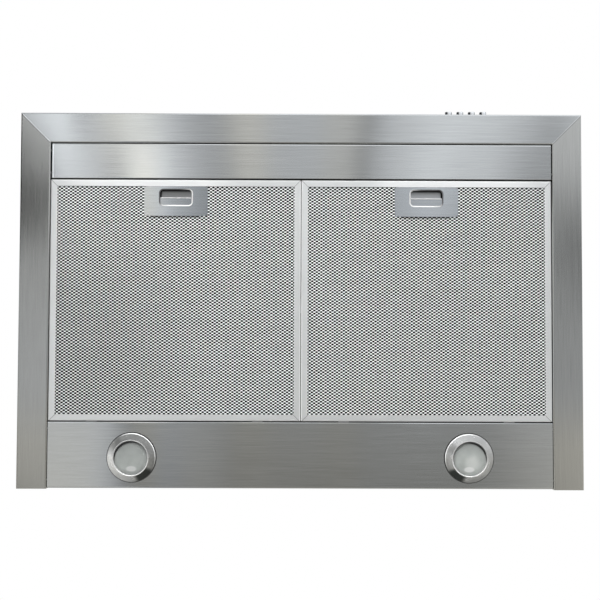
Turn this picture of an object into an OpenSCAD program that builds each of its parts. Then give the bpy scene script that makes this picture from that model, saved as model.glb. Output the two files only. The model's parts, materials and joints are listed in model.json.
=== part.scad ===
// Chimney range hood: folded steel canopy, two mesh grease filters, two lamps,
// four push buttons, a double-inlet blower with a flap damper and a telescopic chimney.
// Right is +X, the wall is the plane y = 0 and up is +Z. Heights are worked out from
// the underside of the rim, and the origin is the centre of the two wall screws.

/* [Canopy] */
// Width of the canopy across the rim
hood_w = 750; // [700:5:900]
// Depth of the canopy from the wall to the front of the rim
hood_d = 500; // [480:5:560]
// Height of the upright rim
rim_h = 50; // [46:1:80]
// Height of the sloping part above the rim
slope_h = 180; // [160:5:240]
// Width of the neck that the chimney stands on
neck_w = 300; // [296:2:340]
// Depth of the neck from the wall
neck_d = 275; // [274:1:310]
// Width of the neck's inward lip
neck_lip = 14; // [12:1:16]
// Thickness of the canopy's steel sheet
sheet = 1; // [0.8:0.1:1.2]
// Width of the flange round the opening
flange_w = 40; // [34:1:48]
// Height of the fold along the flange's inner edge
flange_fold = 9; // [8:0.5:11]
// Radius inside every fold of sheet metal
fold_r = 0.7; // [0.4:0.1:1]

/* [Underside panels] */
// Gap between neighbouring pieces in the opening
seam = 0.8; // [0.5:0.1:1.2]
// How far the panels and filters lie above the flange's face
recess = 1.2; // [0.6:0.1:2]
// Depth of the infill panel behind the front flange
infill_d = 48; // [40:1:60]
// Height of the infill panel's folds
infill_fold = 14; // [13:0.5:18]
// Depth of the lamp panel from the wall
lamp_panel_d = 88.5; // [84:0.5:100]
// Height of the lamp panel's folds
lamp_panel_fold = 22; // [19:1:26]
// Radius of a rivet's shank
rivet_r = 1.6; // [1.4:0.1:2]

/* [Grease filters] */
// Height of the filter's channel frame
filter_h = 9; // [8.6:0.1:10]
// Width of the frame's lips
lip_w = 8.6; // [7:0.1:10]
// Thickness of the frame's aluminium strip
frame_t = 0.8; // [0.6:0.1:1]
// Thickness of each mesh sheet
mesh_t = 0.6; // [0.4:0.1:0.8]
// Thickness of the pleated core, measured upright
core_t = 1; // [0.6:0.1:1.4]
// Pitch of the core's pleats
core_pitch = 10; // [8:0.5:16]
// Pitch of the mesh gaps across the filter
mesh_pitch_x = 37; // [32:1:60]
// Pitch of the mesh gaps along the filter, two staggered rows
mesh_pitch_y = 25; // [22:1:40]
// Width of the mesh strands
strand_w = 5; // [3:0.5:8]
// Distance of the rear tabs from the filter's middle
tab_x = 110; // [60:5:130]
// Width of a rear tab
tab_w = 14; // [10:1:20]
// How far a rear tab stands out of the frame
tab_reach = 7; // [5:0.5:9]
// Thickness of a rear tab
tab_t = 2; // [1.5:0.1:2.5]
// Height of a rear tab above the filter's face
tab_z = 3; // [2:0.1:4]

/* [Filter handles] */
// Width of the handle plate
plate_w = 85; // [78:1:95]
// Depth of the handle plate
plate_d = 39.7; // [38:0.1:46]
// Corner radius of the handle plate
plate_r = 3.5; // [1:0.5:4]
// Thickness of the handle plate
plate_t = 0.8; // [0.6:0.1:1]
// Width of the finger window
window_w = 44.8; // [38:0.2:46]
// Depth of the finger window
window_d = 22.8; // [20:0.2:24]
// Corner radius of the finger window
window_r = 5; // [2:0.5:7]
// Distance of the window from the frame's front face
window_y = 12.3; // [12.2:0.1:13]
// Travel of the latch slider
latch_travel = 6; // [4.5:0.5:6]
// Width of the latch tongue
tongue_w = 30; // [20:1:40]
// How far the tongue stands out of the frame
tongue_reach = 4.5; // [3.8:0.1:5.2]
// Radius of the latch spring's wire
spring_wire_r = 0.3; // [0.2:0.05:0.35]
// Radius of the latch spring's coil
spring_r = 1.6; // [1.2:0.1:1.7]
// Curls of the latch spring
spring_curls = 8; // [5:1:9]

/* [Lamps] */
// Distance of each lamp from the middle of the hood
lamp_x = 223; // [180:1:270]
// Distance of the lamps from the wall
lamp_back = 41.5; // [40:0.5:50]
// Outer radius of the bezel
bezel_r = 32.25; // [31:0.25:35]
// How far the bezel stands below the panel
bezel_drop = 11; // [8:0.5:14]
// Width of the bezel's rolled rim
bezel_rim = 1.8; // [1.4:0.1:6]
// Height of the bezel's upright edge at the panel
bezel_edge = 1.5; // [1:0.1:3]
// Rise of the lens's seat above the bezel's lowest point
lens_lift = 3; // [2:0.1:5]
// Height of the bezel's neck above the panel
neck_rise = 6; // [4:0.5:8]
// Radius of the visible lens
lens_r = 22.25; // [20:0.25:23]
// Height of the reflector above the panel
reflector_h = 34; // [30:1:40]

/* [Push buttons] */
// Radius of a button cap
button_r = 4.75; // [4:0.25:5]
// Distance between neighbouring buttons
button_pitch = 15.6; // [13:0.2:18]
// Middle of the row of buttons from the middle of the hood
button_x = 224; // [150:1:260]
// How far a button stands out of the rim
button_out = 8.5; // [4.5:0.5:10]
// Travel of a button
button_travel = 3.5; // [2:0.5:4]
// Height of the switch bracket's strip
strip_h = 16; // [10:1:20]
// Length of each foot of the switch bracket
foot_l = 10; // [6:1:14]

/* [Blower] */
// Gap between the blower box and each side of the chimney cover
box_side_gap = 13.2; // [12:0.2:16]
// Gap between the blower box and the front of the chimney cover
box_front_gap = 15.2; // [14:0.2:17]
// Height of the blower box
box_h = 235; // [232:1:260]
// Gap between the blower box and the wall
box_back = 14; // [12:1:16]
// Width of the blower box's floor at each side of the inlet
inlet_side = 15; // [10:1:20]
// Radius of the impeller
wheel_r = 80; // [74:1:80]
// Width of the impeller across both sides
wheel_w = 116; // [90:2:120]
// Number of blades
blade_count = 36; // [24:1:44]
// Radial depth of a blade
blade_d = 14; // [10:0.5:16]
// Gap between the impeller and the scroll's cut-off
scroll_gap = 6; // [4:0.5:7]
// Growth of the scroll's radius from cut-off to outlet
scroll_growth = 30; // [20:1:31]
// Distance of the impeller's axis from the wall
wheel_back = 150; // [146:1:153]
// Thickness of the scroll's moulded wall
scroll_t = 2; // [1.5:0.1:2.2]
// Radius of the motor
motor_r = 44; // [36:1:48]
// Length of the motor
motor_l = 76; // [60:1:90]
// Radius of the motor shaft
shaft_r = 4; // [3:0.5:5]

/* [Outlet] */
// Outer radius of the outlet collar
collar_r = 74.5; // [60:0.5:74.5]
// Height of the outlet collar
collar_h = 50; // [45:1:60]
// Distance of the collar's axis from the wall
collar_back = 100; // [98:1:108]
// Wall of the collar
collar_t = 2; // [1.6:0.1:2.5]
// Radius of the damper's pin
pin_r = 2; // [1.5:0.1:2.5]
// Thickness of a damper flap
flap_t = 1.2; // [1:0.1:1.6]

/* [Chimney] */
// Height of the lower chimney cover
lower_h = 400; // [360:5:500]
// Height of the upper chimney cover
upper_h = 420; // [400:5:520]
// Thickness of the covers
cover_t = 0.8; // [0.6:0.1:0.9]
// How far the lower cover stands in from the neck's edge
cover_inset = 1; // [0.5:0.1:1.4]
// Sliding gap between the two covers
slide_gap = 0.6; // [0.5:0.05:0.7]
// Depth of the folds along the covers' rear edges
cover_fold = 15; // [12:1:18]
// Length of a vent slot
slot_l = 60; // [40:2:80]
// Height of a vent slot
slot_h = 3.5; // [2.5:0.1:3.8]
// Number of vent slots in a column
slot_rows = 6; // [3:1:9]

/* [Wall fixings and wiring] */
// Height of the wall screws above the rim's underside
wall_screw_z = 170; // [150:2:175]
// Distance between the wall screws
wall_screw_span = 220; // [180:5:260]
// Radius of the wall screws' holes
wall_hole_r = 4; // [3:0.25:5]
// Distance between the keyholes
keyhole_span = 120; // [90:5:140]
// Distance between the screws of the upper bracket
bracket_span = 200; // [160:5:210]
// Radius of the upper bracket's screw holes
bracket_hole_r = 2.75; // [2:0.25:3.5]
// Radius of the cable's hole in the grommet
cable_r = 3.7; // [3:0.1:4.5]
// Width of the junction box
junction_w = 80; // [60:2:100]
// Distance of the junction box's right end from the middle of the hood
junction_gap = 30; // [25:1:40]
// Radius of the motor capacitor
capacitor_r = 14; // [12:0.5:18]
// Radius of an assembly screw's shank
screw_r = 1.9; // [1.6:0.1:2.1]

/* [Hidden] */
$fn = 64;

steel = [0.72, 0.73, 0.74];
galvanised = [0.62, 0.65, 0.67];
aluminium = [0.8, 0.81, 0.82];
satin_grey = [0.66, 0.67, 0.68];
chrome = [0.85, 0.86, 0.87];
black_plastic = [0.12, 0.12, 0.13];
white_plastic = [0.88, 0.88, 0.86];
frosted_glass = [0.92, 0.94, 0.95];

cut = 1;
fold_steps = 3;
touch_gap = 0.3;
neck_z = rim_h + slope_h;
opening_w = hood_w - 2 * flange_w;
panel_w = opening_w - 2 * seam;
plate_back = sheet + touch_gap;

// Depths of the pieces in the opening, from front to wall
infill_front = -(hood_d - flange_w) + seam;
infill_rear = infill_front + infill_d;
filter_front = infill_rear + seam;
filter_rear = -lamp_panel_d - seam;
filter_d = filter_rear - filter_front;
filter_w = (opening_w - 3 * seam) / 2;
end_tab_h = flange_fold - recess - 0.5;
rivet_z = (recess + sheet + flange_fold) / 2;
rivet_inset = 9;
rivet_places = [infill_front + rivet_inset, infill_rear - rivet_inset,
    -lamp_panel_d + rivet_inset, -plate_back - sheet - rivet_inset];

// Levels inside a filter
core_z = frame_t + mesh_t;
back_mesh_z = filter_h - frame_t - mesh_t;
core_h = back_mesh_z - core_z;
mesh_edge = frame_t + fold_r + 0.2;
mesh_margin = lip_w + 2;

// Handle pocket, measured from the filter's front face
plate_y = lip_w + 0.2;
pocket_wall = 1;
pocket_w = 60;
pocket_y = plate_y + 0.2;
pocket_rear = plate_y + plate_d - 2.5;
pocket_top = back_mesh_z - 0.2;
pocket_ceiling = pocket_top - 0.8;
slide_clear = 0.3;
slider_z = plate_t + slide_clear;
slider_top = pocket_ceiling - slide_clear;
slider_w = pocket_w - 2 * pocket_wall - 2 * slide_clear;
grip_y = window_y + window_d / 2;
grip_rear = pocket_rear - pocket_wall - latch_travel - 2;
arm_w = (slider_w - window_w) / 2 - 1.5;
bar_y = pocket_y + pocket_wall + slide_clear;
bar_d = window_y - bar_y - touch_gap;
tongue_z = 4;
tongue_t = 2;
spring_bore_d = 8;
spring_z = (slider_z + slider_top) / 2;
spring_start = grip_rear - spring_bore_d + touch_gap;
spring_end = pocket_rear - pocket_wall - touch_gap;

// Lamp levels from the underside of the lamp panel
lens_seat = -bezel_drop + lens_lift;
lens_t = 3;
lens_edge = 2.1;
neck_r = lens_r + 4.6;
neck_wall = 2.4;
bulb_r = 4.5;
holder_r = 8;
holder_h = 16;
reflector_t = 0.8;

// Push buttons, from the rim's front face inwards
button_z = rim_h / 2;
button_hole_r = button_r + 0.35;
button_collar_r = button_r + 1.1;
button_collar_t = 1.5;
stem_r = 3;
block_front = sheet + touch_gap + button_collar_t + button_travel + 0.4;
block_d = 26;
block_w = 3 * button_pitch + 24;
block_h = rim_h / 2;
stem_in = 8;

// Chimney covers
lower_w = neck_w - 2 * cover_inset;
lower_d = neck_d - cover_inset;
nest = cover_t + slide_gap;
upper_w = lower_w - 2 * nest;
upper_d = lower_d - nest;
top_plate_t = 1.2;
top_plate_w = lower_w - 2 * cover_t - 2 * 0.4;
top_plate_fold = 14;
upper_z = neck_z + top_plate_fold + touch_gap;
upper_top = upper_z + upper_h;

// Blower, above the top plate
box_z = neck_z + top_plate_t;
box_t = 1;
box_w = lower_w - 2 * cover_t - 2 * box_side_gap;
box_d = lower_d - cover_t - box_front_gap - box_back;
box_flange = 14;
inlet_w = box_w - 2 * inlet_side;
inlet_front = -(box_back + box_d) + box_t + box_flange + 4;
inlet_rear = -box_back - box_t - box_flange - 4;
cut_off = 65;
scroll_steps = 24;
scroll_w = wheel_w + 10;
scroll_half = scroll_w / 2 + scroll_t;
scroll_out = wheel_r + scroll_gap + scroll_growth;
wheel_z = box_z + 12 + scroll_out + scroll_t;
throat_y = scroll_radius(cut_off) * cos(cut_off);
throat_top = box_z + box_h - box_t - touch_gap - wheel_z;
inlet_r = wheel_r - blade_d + 2;
hub_r = 12;
motor_start = 16;
shaft_bore = shaft_r + 0.05;
collar_z = box_z + box_h;
collar_plate = 2 * collar_r + 19;
pin_z = 26;
flap_r = collar_r - collar_t - 1.2;
knuckle_r = pin_r + 1.6;
knuckle_gap = 2;
knuckle_l = (2 * flap_r - 16) / 4;

// Wiring on the back plate
junction_z = 70;
junction_h = 60;
junction_d = 42;
junction_x = -junction_w / 2 - junction_gap;
capacitor_x = 25;
capacitor_l = 60;
grommet_x = -70;
grommet_z = 125;
keyhole_x = keyhole_span / 2;

assembly_screw_l = 6;
head_r = 3.2;
head_h = 1.8;
screw_hole_r = screw_r + 0.2;
lip_screw_y = [-60, -200];
lip_screw_x = neck_w / 2 - neck_lip / 2 - 2;
front_screw_y = -(neck_d - neck_lip / 2 - 2);
box_screw_x = [-100, 100];
box_screw_y = [-(box_back + box_d) + box_t + box_flange / 2, -box_back - box_t - box_flange / 2];
collar_screw = collar_r - 0.5;
side_screw_y = [-60, -210];
side_screw_z = neck_z + top_plate_fold / 2;
bracket_screw_y = -40;
bracket_screw_z = upper_top - 15;
bracket_h = 30;
bracket_t = 1.2;
bracket_arm = 60;

// Plane geometry of folded sheet: the line is the outer face and the thickness lies to its right
function unit(v) = v / norm(v);
function left_of(v) = [-v[1], v[0]];
function cross2(a, b) = a[0] * b[1] - a[1] * b[0];
function turned(v, a) = [v[0] * cos(a) - v[1] * sin(a), v[0] * sin(a) + v[1] * cos(a)];
function reversed(p) = [for (i = [len(p) - 1 : -1 : 0]) p[i]];
function flipped(p) = [for (q = reversed(p)) [-q[0], q[1]]];
function polar(r, a) = [r * cos(a), r * sin(a)];

// One corner of a folded line, moved to the left by s: an arc about the fold's own centre
function fold_arc(p, i, r, s) =
    let (
        a = unit(p[i] - p[i - 1]),
        b = unit(p[i + 1] - p[i]),
        way = sign(cross2(a, b)),
        angle = acos(a * b),
        centre = p[i] - r * tan(angle / 2) * a + way * r * left_of(a)
    )
    [for (k = [0 : fold_steps])
        centre + (r - way * s) * turned(-way * left_of(a), way * angle * k / fold_steps)];

function folded_line(p, r, s) = [
    p[0] + s * left_of(unit(p[1] - p[0])),
    for (i = [1 : len(p) - 2]) each fold_arc(p, i, r, s),
    p[len(p) - 1] + s * left_of(unit(p[len(p) - 1] - p[len(p) - 2]))
];

// Outline of a rectangle with round corners
function round_rect(w, h, r, n = 5) = [
    for (c = [0 : 3]) for (k = [0 : n])
        let (sx = c == 0 || c == 3 ? 1 : -1, sy = c < 2 ? 1 : -1)
        [sx * (w / 2 - r), sy * (h / 2 - r)] + polar(r, 90 * c + 90 * k / n)
];

module folded_sheet(p, t) {
    polygon(concat(folded_line(p, fold_r + t, 0), reversed(folded_line(p, fold_r + t, -t))));
}

// Solids from a profile drawn in the YZ plane, run along +X, and in the XZ plane, run towards -Y
module run_x(length) {
    rotate([90, 0, 90]) linear_extrude(length) children();
}

module run_back(length) {
    rotate([90, 0, 0]) linear_extrude(length) children();
}

module in_frame() {
    translate([0, 0, -wall_screw_z]) children();
}

module cylinder_x(r, l) {
    rotate([0, 90, 0]) cylinder(r = r, h = l);
}

module cylinder_y(r, l) {
    rotate([-90, 0, 0]) cylinder(r = r, h = l);
}

// Canopy: one folded profile serves all three sides, and each is cut at its mitres
function canopy_path(reach, neck) = [
    [-(reach - flange_w), flange_fold], [-(reach - flange_w), 0], [-reach, 0],
    [-reach, rim_h], [-neck, neck_z], [-neck + neck_lip, neck_z]
];

hip = [hood_w / 2 - neck_w / 2, hood_d - neck_d];
hip_over = neck_lip / min(unit(hip)[0], unit(hip)[1]) + 2;
hip_end = [-neck_w / 2, -neck_d] + hip_over * unit(hip);
hip_start = [-hood_w / 2, -hood_d] - 5 * unit(hip);
mitre_in = flange_w + sheet + 1;

// Everything in front of the mitres
module front_sector() {
    translate([0, 0, -cut])
        linear_extrude(rim_h + cut)
            polygon([[-hood_w / 2 - cut, -hood_d - cut], [hood_w / 2 + cut, -hood_d - cut],
                [hood_w / 2 - mitre_in, -hood_d + mitre_in], [-hood_w / 2 + mitre_in, -hood_d + mitre_in]]);
    translate([0, 0, rim_h])
        linear_extrude(slope_h + cut)
            polygon([hip_start, [-hip_start[0], hip_start[1]], [-hip_end[0], hip_end[1]], hip_end]);
}

// Everything to the left of the mitre
module left_sector() {
    translate([0, 0, -cut])
        linear_extrude(rim_h + cut)
            polygon([[-hood_w / 2 - cut, -hood_d - cut], [-hood_w / 2 + mitre_in, -hood_d + mitre_in],
                [-hood_w / 2 + mitre_in, cut], [-hood_w / 2 - cut, cut]]);
    translate([0, 0, rim_h])
        linear_extrude(slope_h + cut)
            polygon([hip_start, hip_end, [hip_end[0], cut], [hip_start[0], cut]]);
}

module canopy_front() in_frame() color(steel) {
    difference() {
        intersection() {
            translate([-hood_w / 2, 0, 0]) run_x(hood_w) folded_sheet(canopy_path(hood_d, neck_d), sheet);
            front_sector();
        }
        at_buttons() translate([0, -cut, 0]) cylinder_y(button_hole_r, sheet + 2 * cut);
        for (x = box_screw_x)
            translate([x, front_screw_y, neck_z - 2 * sheet]) cylinder(r = screw_hole_r, h = 4 * sheet);
    }
}

module canopy_side() {
    difference() {
        intersection() {
            run_back(hood_d) folded_sheet(canopy_path(hood_w / 2, neck_w / 2), sheet);
            left_sector();
        }
        for (y = rivet_places)
            translate([-opening_w / 2 - sheet - cut, y, rivet_z]) cylinder_x(rivet_r + 0.1, sheet + 2 * cut);
        for (y = lip_screw_y)
            translate([-lip_screw_x, y, neck_z - 2 * sheet]) cylinder(r = screw_hole_r, h = 4 * sheet);
    }
}

module canopy_left_side() in_frame() color(steel) canopy_side();
module canopy_right_side() in_frame() color(steel) mirror([1, 0, 0]) canopy_side();

// Back plate: follows the inside of the side pieces from above their folds to the neck
back_line = folded_line([[-hood_w / 2, flange_fold + touch_gap], [-hood_w / 2, rim_h],
    [-neck_w / 2, neck_z], [-neck_w / 2 + neck_lip, neck_z]], fold_r + sheet, -plate_back);
back_top = [[-neck_w / 2 + neck_lip + touch_gap, neck_z - plate_back],
    [-neck_w / 2 + neck_lip + touch_gap, neck_z]];

module back_plate() in_frame() color(galvanised) {
    half = concat(back_line, back_top);
    difference() {
        union() {
            run_back(sheet) polygon(concat(half, flipped(half)));
            translate([-neck_w / 2 + neck_lip + touch_gap, -neck_lip, neck_z - sheet])
                cube([neck_w - 2 * neck_lip - 2 * touch_gap, neck_lip, sheet]);
            for (s = [-1, 1])
                translate([s * (hood_w / 2 - plate_back) - (s + 1) / 2 * sheet, -12, flange_fold + touch_gap])
                    cube([sheet, 12, rim_h - flange_fold - 4]);
        }
        for (s = [-1, 1]) {
            translate([s * wall_screw_span / 2, -2 * cut, wall_screw_z]) cylinder_y(wall_hole_r, 4 * cut);
            translate([s * keyhole_x, -2 * cut, wall_screw_z + 15]) cylinder_y(6, 4 * cut);
            translate([s * keyhole_x, 2 * cut, wall_screw_z + 22])
                run_back(4 * cut) polygon(round_rect(6, 20, 2.99));
        }
        translate([grommet_x, -2 * cut, grommet_z]) cylinder_y(cable_r + 2.5, 4 * cut);
    }
}

// Top plate: folded up at both sides, which stops the upper cover
module top_plate() in_frame() color(galvanised) {
    front = lower_d - cover_t - 0.4;
    difference() {
        translate([0, -cover_t - touch_gap, 0])
            run_back(front - cover_t - touch_gap)
                folded_sheet([[top_plate_w / 2, neck_z + top_plate_fold], [top_plate_w / 2, neck_z],
                    [-top_plate_w / 2, neck_z], [-top_plate_w / 2, neck_z + top_plate_fold]], top_plate_t);
        translate([-inlet_w / 2, inlet_front, neck_z - cut])
            cube([inlet_w, inlet_rear - inlet_front, top_plate_t + 2 * cut]);
        for (s = [-1, 1]) {
            for (y = lip_screw_y)
                translate([s * lip_screw_x, y, neck_z - cut]) cylinder(r = screw_hole_r, h = 2 * cut + top_plate_t);
            for (y = side_screw_y)
                translate([s * (top_plate_w / 2 - 3) - 5, y, side_screw_z]) cylinder_x(screw_hole_r, 10);
        }
        for (x = box_screw_x)
            for (y = concat(box_screw_y, [front_screw_y]))
                translate([x, y, neck_z - cut]) cylinder(r = screw_hole_r, h = 2 * cut + top_plate_t);
    }
}

// Trays: a strip of sheet folded up along its front and rear edges, with a tab at each end
module tray(y0, y1, fold_h) {
    translate([-panel_w / 2, 0, 0])
        run_x(panel_w)
            folded_sheet([[y1, recess + fold_h], [y1, recess], [y0, recess], [y0, recess + fold_h]], sheet);
    for (s = [-1, 1])
        translate([s * (panel_w - sheet) / 2 - sheet / 2, y0 + 3, recess])
            cube([sheet, y1 - y0 - 6, end_tab_h]);
}

module rivet_holes() {
    for (y = rivet_places)
        translate([-hood_w / 2, y, rivet_z]) cylinder_x(rivet_r + 0.1, hood_w);
}

module front_infill_panel() in_frame() color(steel) {
    difference() {
        tray(infill_front, infill_rear, infill_fold);
        rivet_holes();
        for (s = [-1, 1])
            translate([s * (filter_w + seam) / 2 - tongue_w / 2 - 1, infill_rear - 2 * sheet,
                    recess + tongue_z - slide_clear])
                cube([tongue_w + 2, 3 * sheet, tongue_t + 2 * slide_clear]);
    }
}

module lamp_panel() in_frame() color(steel) {
    difference() {
        tray(-lamp_panel_d, -plate_back, lamp_panel_fold);
        rivet_holes();
        for (s = [-1, 1]) {
            translate([s * lamp_x, -lamp_back, recess - cut]) cylinder(r = neck_r + 0.3, h = sheet + 2 * cut);
            for (t = [-1, 1])
                translate([s * (filter_w + seam) / 2 + t * tab_x - tab_w / 2 - 0.5, -lamp_panel_d - cut,
                        recess + tab_z - touch_gap])
                    cube([tab_w + 1, sheet + 2 * cut, 11]);
        }
    }
}

module panel_rivets() in_frame() color(aluminium) {
    grip = seam + 2 * sheet;
    for (s = [-1, 1])
        for (y = rivet_places)
            translate([s * (opening_w / 2 + sheet), y, rivet_z]) rotate([0, -90 * s, 0]) {
                cylinder(r = rivet_r, h = grip);
                translate([0, 0, grip]) cylinder(r1 = 3, r2 = 1.8, h = 1);
                translate([0, 0, -0.8]) cylinder(r = 2.6, h = 0.8);
            }
}

// Grease filters: drawn with the middle of the front face as origin
module at_filter(s) {
    translate([s * (filter_w + seam) / 2, filter_front, recess]) children();
}

channel_path = [[lip_w, 0], [0, 0], [0, filter_h], [lip_w, filter_h]];

// One side of the channel frame, from the origin along +X, mitred at both ends
module frame_member(length) {
    intersection() {
        run_x(length) folded_sheet(channel_path, frame_t);
        linear_extrude(filter_h)
            polygon([[0, 0], [length, 0], [length - lip_w, lip_w], [lip_w, lip_w]]);
    }
}

module filter_frame(s) {
    at_filter(s) {
        difference() {
            union() {
                translate([-filter_w / 2, 0, 0]) frame_member(filter_w);
                translate([filter_w / 2, 0, 0]) rotate(90) frame_member(filter_d);
                translate([filter_w / 2, filter_d, 0]) rotate(180) frame_member(filter_w);
                translate([-filter_w / 2, filter_d, 0]) rotate(270) frame_member(filter_d);
            }
            translate([-tongue_w / 2 - slide_clear, -cut, tongue_z - slide_clear])
                cube([tongue_w + 2 * slide_clear, frame_t + 2 * cut, tongue_t + 2 * slide_clear]);
        }
        for (t = [-1, 1])
            translate([t * tab_x - tab_w / 2, filter_d - frame_t, tab_z])
                cube([tab_w, tab_reach + frame_t, tab_t]);
    }
}

// Diamond gaps in staggered rows, leaving out those near the handle on the front mesh
mesh_w = filter_w - 2 * mesh_edge;
mesh_d = filter_d - 2 * mesh_edge;
gap_w = mesh_pitch_x - strand_w * 1.5;
gap_d = mesh_pitch_y - strand_w;
mesh_cols = floor((filter_w - 2 * mesh_margin - gap_w) / mesh_pitch_x - 0.5);
mesh_rows = floor((filter_d - 2 * mesh_margin - gap_d) / mesh_pitch_y);

function near_handle(x, y) =
    abs(x) < (plate_w + gap_w) / 2 + 2 && y < plate_y + plate_d + gap_d / 2 + 2;

function mesh_centres(handled) = [
    for (row = [0 : 2 * mesh_rows]) for (col = [0 : mesh_cols])
        let (
            odd = row % 2,
            x = (col - mesh_cols / 2 + (odd - 0.5) / 2) * mesh_pitch_x,
            y = filter_d / 2 + (row - mesh_rows) * mesh_pitch_y / 2
        )
        if (!(handled && near_handle(x, y))) [x, y]
];

function box_loop(w, y0, y1) = [[-w / 2, y0], [w / 2, y0], [w / 2, y1], [-w / 2, y1]];
function diamond(c) = [c - [gap_w / 2, 0], c - [0, gap_d / 2], c + [gap_w / 2, 0], c + [0, gap_d / 2]];

module mesh_sheet(handled) {
    loops = concat(
        [box_loop(mesh_w, mesh_edge, filter_d - mesh_edge)],
        handled ? [box_loop(pocket_w + 0.8, pocket_y - 0.2, pocket_rear + 0.2)] : [],
        [for (c = mesh_centres(handled)) diamond(c)]
    );
    points = [for (loop = loops) each loop];
    paths = [for (i = [0 : len(loops) - 1]) [4 * i, 4 * i + 1, 4 * i + 2, 4 * i + 3]];
    linear_extrude(mesh_t) polygon(points, paths);
}

module filter_front_mesh(s) at_filter(s) translate([0, 0, frame_t]) mesh_sheet(true);
module filter_back_mesh(s) at_filter(s) translate([0, 0, back_mesh_z]) mesh_sheet(false);

// Core: pleated mesh layer between the two faces, cut away round the handle pocket and the tongue
core_folds = 2 * floor(mesh_d / core_pitch);
core_line = [for (i = [0 : core_folds])
    [mesh_edge + mesh_d * i / core_folds, i % 2 == 0 ? 0.1 : core_h - core_t - 0.1]];

module filter_core(s) {
    at_filter(s)
        translate([0, 0, core_z])
            difference() {
                translate([-mesh_w / 2, 0, 0])
                    run_x(mesh_w)
                        polygon(concat(core_line, [for (p = reversed(core_line)) p + [0, core_t]]));
                translate([-pocket_w / 2 - 0.4, pocket_y - 0.2, -cut])
                    cube([pocket_w + 0.8, pocket_rear - pocket_y + 0.4, core_h + 2 * cut]);
                translate([-tongue_w / 2 - 1, -cut, -cut])
                    cube([tongue_w + 2, pocket_y + cut, core_h + 2 * cut]);
            }
}

// Handle: a plate with a finger window and a pocket above it for the latch slider
module handle_plate(s) {
    at_filter(s)
        difference() {
            union() {
                translate([0, plate_y + plate_d / 2, 0])
                    linear_extrude(plate_t) polygon(round_rect(plate_w, plate_d, plate_r));
                translate([-pocket_w / 2, pocket_y, plate_t / 2])
                    cube([pocket_w, pocket_rear - pocket_y, pocket_top - plate_t / 2]);
            }
            translate([0, window_y + window_d / 2, -cut])
                linear_extrude(plate_t + 2 * cut) polygon(round_rect(window_w, window_d, window_r));
            translate([-pocket_w / 2 + pocket_wall, pocket_y + pocket_wall, plate_t])
                cube([pocket_w - 2 * pocket_wall, pocket_rear - pocket_y - 2 * pocket_wall,
                    pocket_ceiling - plate_t]);
            translate([-tongue_w / 2 - slide_clear, pocket_y - cut, tongue_z - slide_clear])
                cube([tongue_w + 2 * slide_clear, pocket_wall + 2 * cut, tongue_t + 2 * slide_clear]);
        }
}

// Latch slider: finger grip behind the window's middle, two arms, cross bar and ramped tongue
module latch_slider(s) {
    arm_z = tongue_z - 0.4;
    at_filter(s)
        difference() {
            union() {
                translate([-slider_w / 2, grip_y, slider_z])
                    cube([slider_w, grip_rear - grip_y, slider_top - slider_z]);
                for (t = [-1, 1])
                    translate([t * (slider_w - arm_w) / 2 - arm_w / 2, bar_y, arm_z])
                        cube([arm_w, grip_y - bar_y + cut, slider_top - arm_z]);
                translate([-slider_w / 2, bar_y, arm_z]) cube([slider_w, bar_d, slider_top - arm_z]);
                translate([-tongue_w / 2, 0, tongue_z])
                    run_x(tongue_w)
                        polygon([[-tongue_reach, 0], [bar_y + bar_d, 0], [bar_y + bar_d, tongue_t],
                            [-tongue_reach + 2, tongue_t], [-tongue_reach, 0.5]]);
            }
            translate([0, grip_rear - spring_bore_d, spring_z]) cylinder_y(spring_r + 0.6, spring_bore_d + cut);
        }
}

// Latch spring: a round wire wound on a helix along +Y with its ends drawn in to flat turns
spring_rings = spring_curls * 8;
spring_sides = 6;

function spring_centre(t) = [
    spring_r * cos(360 * spring_curls * t),
    spring_start + spring_wire_r + (spring_end - spring_start - 2 * spring_wire_r) * t,
    spring_z + spring_r * sin(360 * spring_curls * t)
];

function spring_ring(i) =
    let (
        t = i / spring_rings,
        out = [cos(360 * spring_curls * t), 0, sin(360 * spring_curls * t)]
    )
    [for (k = [0 : spring_sides - 1])
        spring_centre(t) + spring_wire_r * (cos(360 * k / spring_sides) * out
            + [0, sin(360 * k / spring_sides), 0])];

spring_gap = min([for (i = [0 : spring_rings - 8])
    norm(spring_centre(i / spring_rings) - spring_centre((i + 8) / spring_rings))]) - 2 * spring_wire_r;
echo(least_gap_between_spring_curls = spring_gap);

module latch_spring(s) {
    points = [for (i = [0 : spring_rings]) each spring_ring(i)];
    last = spring_rings * spring_sides;
    faces = concat(
        [for (k = [1 : spring_sides - 2]) [0, k + 1, k]],
        [for (i = [0 : spring_rings - 1]) for (k = [0 : spring_sides - 1])
            let (a = i * spring_sides + k, b = i * spring_sides + (k + 1) % spring_sides)
            each [[a, b, a + spring_sides], [b, b + spring_sides, a + spring_sides]]],
        [for (k = [1 : spring_sides - 2]) [last, last + k, last + k + 1]]
    );
    at_filter(s) polyhedron(points, faces);
}

// Lamps: drawn with the lamp's axis on Z and the panel's underside at z = 0
module at_lamp(s) {
    in_frame() translate([s * lamp_x, -lamp_back, recess]) children();
}

module lamp_bezel(s) {
    rim_r = bezel_rim / 2;
    rim_mid = lens_r + rim_r;
    at_lamp(s)
        rotate_extrude()
            polygon(concat(
                [[bezel_r, 0], [bezel_r, -bezel_edge]],
                [for (k = [0 : 6]) [rim_mid, -bezel_drop + rim_r] + polar(rim_r, -20 - 160 * k / 6)],
                [[lens_r, lens_seat], [neck_r - neck_wall, lens_seat], [neck_r - neck_wall, neck_rise],
                    [neck_r, neck_rise], [neck_r, 0]]
            ));
}

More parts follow.
